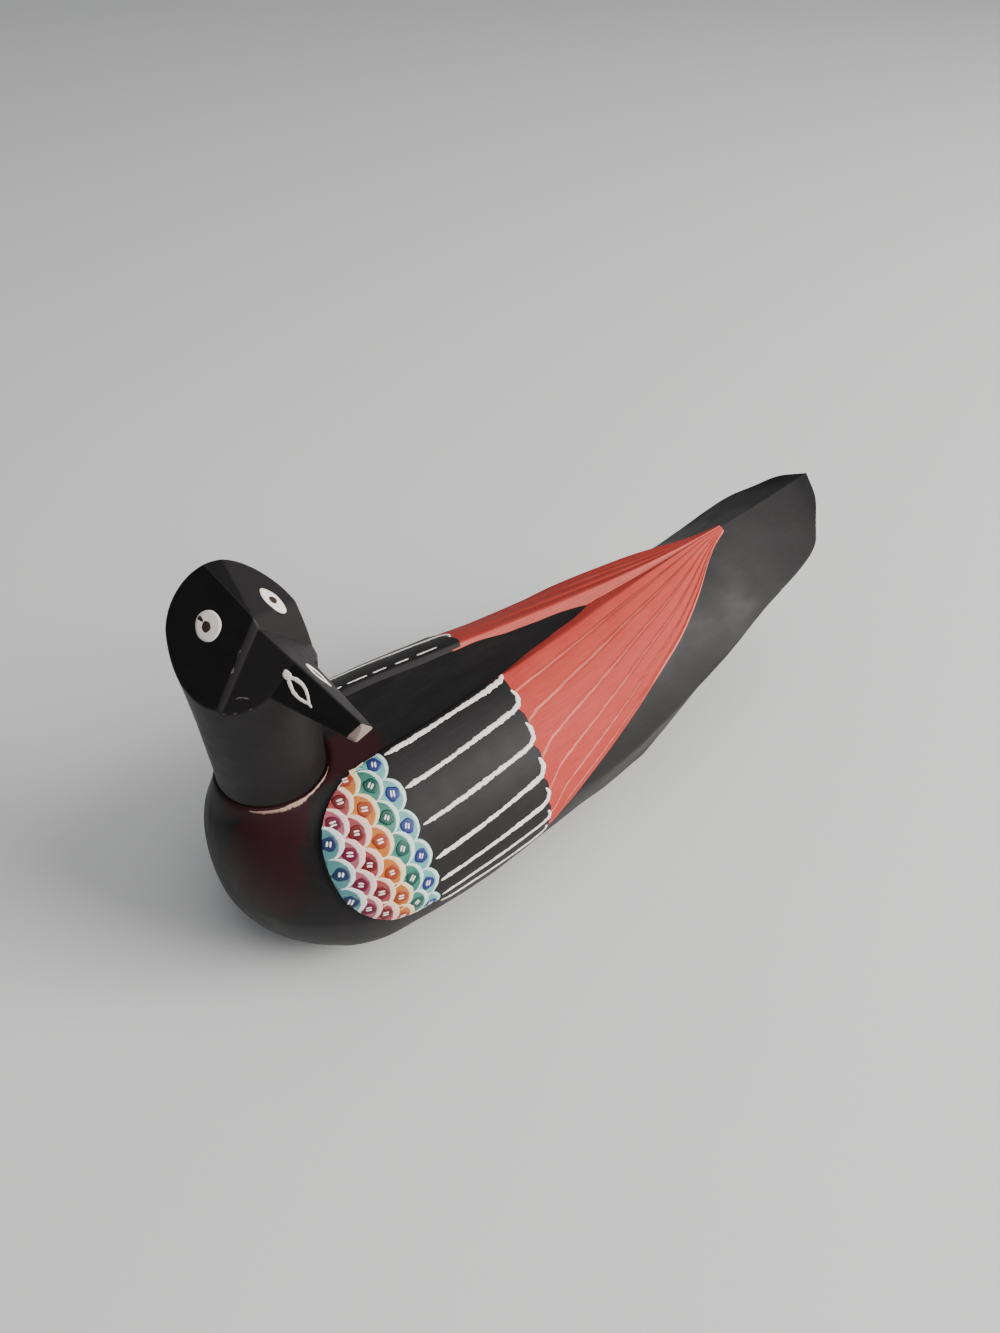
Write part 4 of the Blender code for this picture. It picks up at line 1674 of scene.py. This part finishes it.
@dataclass(frozen=True)
class HeadForm:
    """Form of the neck, the skull and the beak. It is that of the CAD part.

    In the head's own frame x runs forward, y to its left and z up from the foot of the neck. Knife cuts
    and the beak are given from the skull's centre in shares of the skull's radius.
    """

    foot: Triple = (-1.6, -102.2, 70.3)
    turn: float = 16.0
    radius: float = 19.1
    centre: float = 50.5
    rise: float = 18.7
    lean: Pair = (0.0, -0.25)
    neck_radius: float = 15.8
    collar: float = 4.0
    swell: Stations = ((0.0, 0.82), (0.10, 0.824), (0.30, 0.848), (0.50, 0.877), (0.75, 0.932),
                       (1.0, 1.0))
    brow: Triple = (0.306, 0.0, 0.362)
    cheeks: tuple[Triple, ...] = ((0.20, -0.72, 0.66), (0.46, 0.50, 0.735), (0.387, 0.157, 0.907))
    beak_top: Pair = (0.368, 0.218)
    beak_reach: float = 40.1
    beak_drop: float = 0.43
    beak_base: Pair = (0.571, 0.484)
    beak_tip: Pair = (0.165, 0.175)
    beak_under: float = 0.03
    beak_root: float = 0.1
    beak_lap: float = 0.01
    tip_cut: Triple = (0.88, 0.28, 0.36)
    wall_side: Triple = (0.785, 0.449, 0.427)
    wall_point: Triple = (5.9, 0.6, 56.7)
    # How far forward the painted shade on the cheek cuts reaches, in millimetres of the head's frame.
    shade_front: float = 5.9

    def from_skull(self, point: Sequence[float]) -> np.ndarray:
        """A point given in shares of the skull's radius.

        Args:
            point: (forward, left, up) from the skull's centre.

        Returns:
            Millimetres in the head's frame.
        """
        return np.array(point, dtype=float) * self.radius + (0, 0, self.centre)

    def world(self, points: np.ndarray) -> np.ndarray:
        """Turn points of the head's frame round the neck and set them on the seat.

        Args:
            points: Points in the head's frame.

        Returns:
            Points in the row frame.
        """
        return self.turned(points) + self.foot

    def turned(self, vectors: np.ndarray) -> np.ndarray:
        """Turn vectors of the head's frame into the row frame.

        Args:
            vectors: Vectors in the head's frame.

        Returns:
            Turned vectors.
        """
        turn = math.radians(self.turn)
        cos, sin = math.cos(turn), math.sin(turn)
        return np.asarray(vectors) @ np.array(((cos, sin, 0), (-sin, cos, 0), (0, 0, 1)))

    def beak_crest(self) -> float:
        """Height of the beak's ridge at its root.

        Returns:
            Shares of the skull's radius over its centre.
        """
        forward, ridge = self.beak_top
        return ridge + self.beak_drop * (forward - self.beak_root) - self.beak_lap

    def roof(self, side: int) -> np.ndarray:
        """Outward normal of one of the beak's two upper faces.

        Args:
            side: -1 for the head's right, 1 for its left.

        Returns:
            The normal, in the head's frame.
        """
        forward, ridge = self.beak_top
        reach = self.beak_reach / self.radius
        tip = ridge - self.beak_drop * (reach - forward)
        line = np.array((reach - self.beak_root, 0, tip - self.beak_crest()))
        down = np.array((0, side * self.beak_base[0], ridge - self.beak_base[1] - self.beak_crest()))
        normal = np.cross(line, down)
        return normal * np.sign(normal[2]) / np.linalg.norm(normal)

    def on_roof(self, point: Sequence[float]) -> np.ndarray:
        """Drop a point on to the right face facet: point - normal * distance.

        Args:
            point: A point near it in the head's frame.

        Returns:
            The point on the facet.
        """
        normal = self.roof(-1)
        crest = self.from_skull((self.beak_root, 0, self.beak_crest()))
        return np.array(point) - normal * ((point - crest) @ normal)

    def facet(self, normal: Sequence[float], point: Sequence[float], first: Sequence[float]) -> FlatChart:
        """A map on a flat facet.

        Args:
            normal: The facet's outward direction in the head's frame.
            point: Place of the map's origin on the facet, in the head's frame.
            first: Direction that u roughly runs in.

        Returns:
            The chart in the row frame.
        """
        normal = np.array(normal, dtype=float)
        normal /= np.linalg.norm(normal)
        first = np.array(first, dtype=float)
        first -= normal * (first @ normal)
        first /= np.linalg.norm(first)
        return FlatChart(self.world(np.array(point, dtype=float)), self.turned(first),
                         self.turned(np.cross(normal, first)))


@dataclass
class HeadCarving:
    """The neck and the skull: a turned column under a dome, cut with flat knife cuts."""

    form: HeadForm
    around: int = 400
    neck_rows: int = 118
    dome_rows: int = 92
    blend: float = 0.16
    unevenness: float = 0.12

    def _reach(self, start: np.ndarray, ray: np.ndarray, normal: Sequence[float],
               point: np.ndarray) -> np.ndarray:
        """Distance along each ray to a plane: (point - start) . normal / ray . normal.

        Args:
            start: Starts of the rays.
            ray: Their directions.
            normal: Outward normal of the plane.
            point: A point on it.

        Returns:
            Distances; a great one where the ray doesn't leave through the plane.
        """
        facing = ray @ np.array(normal, dtype=float)
        gap = (point - start) @ np.array(normal, dtype=float)
        return np.where(facing > 1e-3, np.minimum(gap / np.maximum(facing, 1e-3), FAR), FAR)

    def surface(self) -> tuple[np.ndarray, np.ndarray, np.ndarray]:
        """Points of the head, how near each lies to an arris, and where its paint stays plain black.

        Below the skull's centre rays run level from the axis; above it they run up from the centre. On
        each ray the surface is at the least of: the blank, the three cheek planes, and the greater of
        the face's wall and its sloping floor.

        Returns:
            Points rows by ring, arris closeness from 0 to 1, and 1 on plain black or 0 on the darker painted
            shade.
        """
        f = self.form
        band = 0.012
        up = np.concatenate([np.linspace(0, 1, 7)[:-1] ** 2 * band,
                             np.linspace(band, 1, self.neck_rows)])
        climb = np.linspace(0, np.pi / 2, self.dome_rows)[1:]
        height = np.concatenate([up * f.centre, np.full(len(climb), f.centre)])
        tilt = np.concatenate([np.zeros(len(up)), climb])
        turn = np.arange(self.around) / self.around * 2 * np.pi
        height, angle = np.meshgrid(height, turn, indexing="ij")
        tilt = np.broadcast_to(tilt[:, None], height.shape)
        ray = np.stack([np.cos(angle) * np.cos(tilt), np.sin(angle) * np.cos(tilt), np.sin(tilt)], -1)
        lean = (height / f.centre) ** 3
        start = np.stack([f.lean[0] * lean, f.lean[1] * lean, height], -1)
        neck = f.radius * profile(height / f.centre, f.swell)
        neck = np.where(height < f.collar, np.minimum(neck, f.neck_radius), neck)
        neck = neck - 0.5 * (1 - quarter_round(height, 0.6))
        dome = 1 / np.sqrt((np.cos(tilt) / f.radius) ** 2 + (np.sin(tilt) / f.rise) ** 2)
        blank = np.where(tilt > 0, dome, neck)
        blank = blank - self.unevenness * (0.5 + 0.5 * ripple(angle * 17, height + tilt * 18, 0.24, 1.0))
        brow = f.from_skull(f.brow)
        cheeks = [self._reach(start, ray, normal, brow) for normal in f.cheeks]
        forward, ridge = f.beak_top
        top = f.from_skull((forward, 0, ridge))
        walls = [self._reach(start, ray, (1, 0, 0), top)]
        for side in (-1, 1):
            mirror = np.array((1, side, 1))
            walls.append(self._reach(start, ray, mirror * f.wall_side, mirror * f.wall_point))
        wall = soft_min(walls, self.blend)
        crest = f.from_skull((f.beak_root, 0, f.beak_crest()))
        floors = [self._reach(start, ray, f.roof(side), crest) for side in (-1, 1)]
        face = soft_max([wall, soft_min(floors, self.blend)], self.blend)
        cuts = [blank, *cheeks, face]
        distance = soft_min(cuts, self.blend)
        two = np.sort(np.stack(cuts), axis=0)[:2]
        arris = np.exp(-((two[1] - two[0]) / 0.55) ** 2)
        first = np.argmin(np.stack(cuts), axis=0)
        # Painted shade: the right cheek cut and the cut on top, towards the front, get a darker black than
        # the rest of the head.
        painted_shade = ((first == 1) | (first == 3)) & (start[..., 0] + ray[..., 0] * distance < f.shade_front)
        return start + ray * distance[..., None], arris, 1.0 - painted_shade

    def build(self, material: bpy.types.Material) -> bpy.types.Object:
        """Make the piece, with the beak's wedge as a second shell in it.

        Args:
            material: Black paint, with a darker black for painted shade.

        Returns:
            The object.
        """
        points, arris, plain_black = self.surface()
        plain_black = worn(worn(plain_black, 1, 2, ring=True), 0, 2)
        base = np.array((0.0, 0.0, points[0, 0, 2]))
        foot = np.broadcast_to(base, (1,) + points.shape[1:])
        points = np.concatenate([foot, points])
        arris = np.concatenate([0 * arris[:1], arris])
        plain_black = np.concatenate([plain_black[:1], plain_black])
        forward, left, height = np.moveaxis(points, -1, 0)
        turn = np.degrees(np.arctan2(left, forward))
        rim = fade(height, 1.1, 0.5) * 0.45 * (0.5 + 0.5 * ripple(turn, 0 * turn, 0.11, 3.0))
        scuff = 0.34 + (0.22 + 0.12 * fade(left, 0.5, 2)) * fade(forward, 3, 8)
        scuff = scuff * arris * (0.5 + 0.5 * ripple(forward, height, 1.1, 2.0))
        draft = Draft("head.carving")
        # zone is 1 where the paint stays plain black and 0 where it gets the darker painted shade.
        draft.ring(self.form.world(points), place=points[..., [2, 0, 1]] * (4, 1, 1),
                   bare=np.maximum(rim, scuff), zone=plain_black)
        self._beak(draft)
        return draft.build([material])

    def _beak(self, draft: Draft, around: int = 120, rows: int = 60, cap: int = 12) -> None:
        """Add the beak: straight lines from a roof-shaped root to a smaller tip, cut off on the slant.

        Each section is the soft least of the distances from its middle to the two roofs, the two sides
        and the flat underside. Each line ends where it meets the tip's plane, and the cap runs in to
        the tip's middle.

        Args:
            draft: Draft of the head.
            around: Points round a section.
            rows: Sections.
            cap: Rings of the tip's face.
        """
        f = self.form
        forward, ridge = f.beak_top
        reach = f.beak_reach / f.radius
        tip = ridge - f.beak_drop * (reach - forward)
        root = f.beak_crest()
        sections = ((f.beak_root, root, f.beak_base[0], ridge - f.beak_base[1]),
                    (reach, tip, f.beak_tip[0], tip - f.beak_tip[1]))
        angle = np.arange(around) / around * 2 * np.pi
        rings = []
        for at, peak, half, eaves in sections:
            low = eaves - f.beak_under
            middle = (peak + 2 * low) / 3
            fall = (peak - eaves) / half
            y, z = np.cos(angle), np.sin(angle)
            sides = [np.where(np.abs(y) > 1e-3, half / np.maximum(np.abs(y), 1e-3), FAR),
                     np.where(z < -1e-3, (middle - low) / np.maximum(-z, 1e-3), FAR)]
            for way in (-1, 1):
                facing = z + way * fall * y
                sides.append(np.where(facing > 1e-3, (peak - middle) / np.maximum(facing, 1e-3), FAR))
            size = soft_min(sides, 0.011)
            rings.append(f.from_skull((0, 0, 0)) + f.radius * np.stack(
                [np.full_like(size, at), size * y, middle + size * z], -1))
        start, end = rings
        normal = np.array(f.tip_cut) / np.linalg.norm(f.tip_cut)
        plane = f.from_skull((reach - f.beak_lap, 0, tip))
        share = soft_min([((plane - start) @ normal) / ((end - start) @ normal), np.ones(around)], 0.006)
        t = dense_ends(rows, 0.3)[:, None] * share[None]
        body = start + (end - start) * t[..., None]
        rim = start + (end - start) * share[:, None]
        middle = rim.mean(axis=0)
        rings_in = 1 - np.linspace(0, 1, cap)[1:, None, None]
        face = middle + (rim - middle) * rings_in
        back = np.broadcast_to(start.mean(axis=0), (1, around, 3))
        points = np.concatenate([back, body, face])
        points[1:] = worn(points[1:], 0, 2)
        near = middle[0] - points[..., 0]
        bare = fade(near + 0.55 * points[..., 1], 0.9, 0.1)
        bare = np.where(np.arange(len(points))[:, None] >= rows + 1, 1.0, bare * 0.9)
        # The beak's left side is plain black; its right side gets the darker painted shade.
        left = fade(points[..., 1], -0.2, 0.2) * 0.9
        draft.ring(f.world(points), place=points, bare=bare, zone=left)


@dataclass(frozen=True)
class Eye:
    """One painted eye on a cheek cut.

    Its middle and the direction of u are given in the head's frame, the rest in millimetres of the
    cut's own map: the disc's radii along u and v, how far it is drawn out to a point along u, the
    pupil's u, v and radius, and the notch's u, v and turn.
    """

    cheek: int
    at: Triple
    first: Triple
    radii: Pair
    point: float
    pupil: Triple
    notch: Triple | None
    phase: float


@dataclass(frozen=True)
class Nostril:
    """One painted nostril on the beak's roof: a leaf, with or without the dab of its stem."""

    side: int
    at: Triple
    first: Triple
    length: float
    width: float
    stem: bool
    phase: float


EYES = (
    Eye(cheek=0, at=(-4.6, -6.2, 53.8), first=(0.90, 0.40, 0.18), radii=(3.65, 4.0), point=0.0,
        pupil=(-0.45, -0.25, 1.25), notch=(-2.75, 2.35, -0.75), phase=0.6),
    Eye(cheek=1, at=(0.55, 11.05, 53.25), first=(0.82, 0.10, -0.58), radii=(3.9, 3.05), point=0.14,
        pupil=(-0.1, 0.0, 1.2), notch=None, phase=2.4),
)
NOSTRILS = (
    Nostril(side=-1, at=(17.2, -2.7, 47.4), first=(0.866, -0.116, -0.482), length=11.4, width=3.0,
            stem=True, phase=0.3),
    Nostril(side=1, at=(18.2, 3.7, 46.0), first=(0.90, 0.05, -0.44), length=8.6, width=2.6,
            stem=False, phase=1.9),
)


@dataclass
class FacePaint:
    """The painted eyes and nostrils, on the head's flat cuts."""

    form: HeadForm
    chip_at: Triple = (10.6, -12.6, 42.4)
    chip_first: Triple = (3.0, 1.9, 0.3)

    def _eye(self, draft: Draft, eye: Eye) -> None:
        """A cream disc with a dark pupil, and a dark notch where the ring's ends meet.

        Args:
            draft: Draft of the face's paint.
            eye: Its place and sizes.
        """
        phase = eye.phase
        brush = Brush(draft, self.form.facet(self.form.cheeks[eye.cheek], eye.at, eye.first))
        rim = circle(1.0, 64, 0.025, phase) * eye.radii
        rim[:, 0] *= 1 + eye.point * np.abs(np.cos(np.arange(64) / 64 * 2 * np.pi)) ** 3
        brush.dab((0, 0), rim, 0.05, 0.10, 0, rings=7)
        pupil = circle(eye.pupil[2], 32, 0.06, phase + 1) * (1.0, 1.18)
        brush.dab(eye.pupil[:2], pupil, 0.16, 0.05, 1)
        if eye.notch is not None:
            u, v, turn = eye.notch
            way = np.array((math.cos(turn), math.sin(turn)))
            t = np.linspace(0, 1, 14)[:, None]
            path = np.array((u, v)) + way * 1.9 * t
            half = 0.62 * np.sqrt(np.clip(1 - (2 * t[:, 0] - 1) ** 4, 0, 1)) * (1.1 - 0.6 * t[:, 0])
            brush.stroke(path, half, 0.15, 0.04, 1, shake=0.1, phase=phase)

    def _nostril(self, draft: Draft, nostril: Nostril) -> None:
        """A leaf drawn with two bowed lines, with a dab for its stem.

        Args:
            draft: Draft of the face's paint.
            nostril: Its place and sizes.
        """
        phase = nostril.phase
        brush = Brush(draft, self.form.facet(self.form.roof(nostril.side), nostril.at, nostril.first))
        t = np.linspace(0, 1, 40)
        start = 0.14 if nostril.stem else 0.0
        for side in (-1, 1):
            u = nostril.length * (start + (1 - start) * t)
            bow = np.sin(np.pi * np.clip(t / 0.86, 0, 1)) ** 0.9
            path = np.stack([u, side * nostril.width / 2 * bow + 0.15 * np.sin(4 * t + phase)], -1)
            half = 0.52 * np.clip(1 - (2 * t - 1) ** 12, 0, 1) ** 0.5 * (1.05 - 0.45 * t)
            brush.stroke(path, half, 0.04, 0.08, 0, shake=0.15, phase=phase + side)
        if nostril.stem:
            outline = circle(1.0, 28, 0.10, phase) * (1.5, 1.05)
            brush.dab((nostril.length * 0.10, 0.1), outline, 0.05, 0.08, 0)

    def _chip(self, draft: Draft) -> None:
        """A shallow knife nick under the beak's root, where grey undercoat shows as a bowed line.

        Args:
            draft: Draft of the face's paint.
        """
        place = self.form.on_roof(self.chip_at)
        brush = Brush(draft, self.form.facet(self.form.roof(-1), place, self.chip_first))
        t = np.linspace(-1, 1, 24)
        path = np.stack([1.8 * t, -0.3 * t ** 2], -1)
        brush.stroke(path, 0.20 * np.clip(1 - t ** 4, 0, 1) ** 0.5, 0.0, 0.05, 2, shake=0.5, phase=1.0)

    def build(self, materials: Sequence[bpy.types.Material]) -> bpy.types.Object:
        """Make the piece.

        Args:
            materials: White, pupil paint and undercoat.

        Returns:
            The object.
        """
        draft = Draft("face.paint")
        for eye in EYES:
            self._eye(draft, eye)
        for nostril in NOSTRILS:
            self._nostril(draft, nostril)
        self._chip(draft)
        return draft.build(materials)


# The studio


@dataclass
class Studio:
    """The floor, the lights and the camera."""

    camera_at: Triple = (198.25, -173.91, 290.25)
    forward: Triple = (-0.587994, 0.454453, -0.669131)
    lens: float = 28.087
    floor_half: float = 3000.0
    floor_gap: float = 0.02
    floor_depth: float = 20.0
    aim: Triple = (0.0, 0.0, 0.05)

    def floor(self) -> bpy.types.Object:
        """A wide pale table top.

        Returns:
            The floor.
        """
        lines = np.linspace(-self.floor_half, self.floor_half, 9)
        u, v = np.meshgrid(lines, lines, indexing="ij")
        top = np.stack([u, v, 0 * u - self.floor_gap], -1)
        draft = Draft("table")
        draft.slab(top, top - (0, 0, self.floor_depth))
        floor = draft.build([PaleTable().material()])
        return floor

    def _panel(self, name: str, at: Triple, size: float, power: float,
               tint: Colour = (1.0, 1.0, 1.0)) -> None:
        """A square soft light that faces the bird.

        Args:
            name: Its name.
            at: Its place in metres.
            size: Its side in metres.
            power: Its power in watts.
            tint: Its colour.
        """
        light = bpy.data.lights.new(name, "AREA")
        light.shape = "SQUARE"
        light.size = size
        light.energy = power
        light.color = tint
        lamp = bpy.data.objects.new(name, light)
        lamp.location = at
        lamp.rotation_euler = (Vector(self.aim) - Vector(at)).to_track_quat("-Z", "Y").to_euler()
        bpy.context.collection.objects.link(lamp)

    def lights(self) -> None:
        """Soft daylight from behind on the bird's left, a wide overhead light and a dim room."""
        self._panel("window", (1.25, 1.05, 0.80), 1.1, 62.0, (1.0, 0.985, 0.965))
        self._panel("ceiling", (0.5, 0.2, 1.9), 1.6, 17.0)
        world = bpy.data.worlds.new("room")
        world.use_nodes = True
        graph = Graph(world.node_tree)
        background = graph.node("ShaderNodeBackground")
        background.inputs["Color"].default_value = (0.92, 0.95, 1.0, 1.0)
        background.inputs["Strength"].default_value = 0.26
        graph.feed(graph.node("ShaderNodeOutputWorld").inputs["Surface"], background.outputs[0])
        bpy.context.scene.world = world

    def camera(self) -> bpy.types.Object:
        """The photograph's camera.

        Returns:
            The camera, made the scene's own.
        """
        data = bpy.data.cameras.new("photo camera")
        data.lens = self.lens
        data.sensor_width = 36.0
        data.sensor_fit = "AUTO"
        data.clip_start = 0.01
        camera = bpy.data.objects.new("photo camera", data)
        camera.location = Vector(self.camera_at) * MM
        camera.rotation_euler = Vector(self.forward).to_track_quat("-Z", "Y").to_euler()
        bpy.context.collection.objects.link(camera)
        bpy.context.scene.camera = camera
        return camera


# The whole


class PaintedBird:
    """The bird: the carved body and head with their paint."""

    def __init__(self) -> None:
        """Set up the forms."""
        self.body = BodyForm()
        self.wing = WingForm(self.body)
        self.head = HeadForm()

    def build(self) -> list[bpy.types.Object]:
        """Make every piece and tie it to the frame.

        Returns:
            The pieces.
        """
        black, white = BLACK.material(), WHITE.material()
        coral = CORAL.material()
        scale_paints = [paint for hue in HUES for paint in hue.materials()] + [white]
        carving = BodyCarving(self.body, Seat()).build()
        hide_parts("body")
        wooden = [carving, SeatRim(Seat()).build()]
        for side in Side:
            plates = WingPlates(self.wing, side)
            wooden += [plates.coverts(black), plates.flight(coral)]
            wooden.append(ScalePatch(self.wing, side).build(scale_paints))
            wooden.append(FeatherLines(self.wing, side).build(white))
        skull = HeadCarving(self.head).build(SHADED_BLACK.material())
        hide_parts("head")
        face = FacePaint(self.head).build([white, PUPIL.material(), UNDERCOAT.material()])
        for piece in wooden:
            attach(piece, "root")
        for piece in (skull, face):
            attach(piece, "root")
        return wooden + [skull, face]


def main() -> None:
    """Build the scene."""
    logging.basicConfig(level=logging.INFO, format="%(name)s %(message)s")
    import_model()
    PaintedBird().build()
    studio = Studio()
    studio.floor()
    studio.lights()
    studio.camera()


if __name__ == "__main__":
    main()
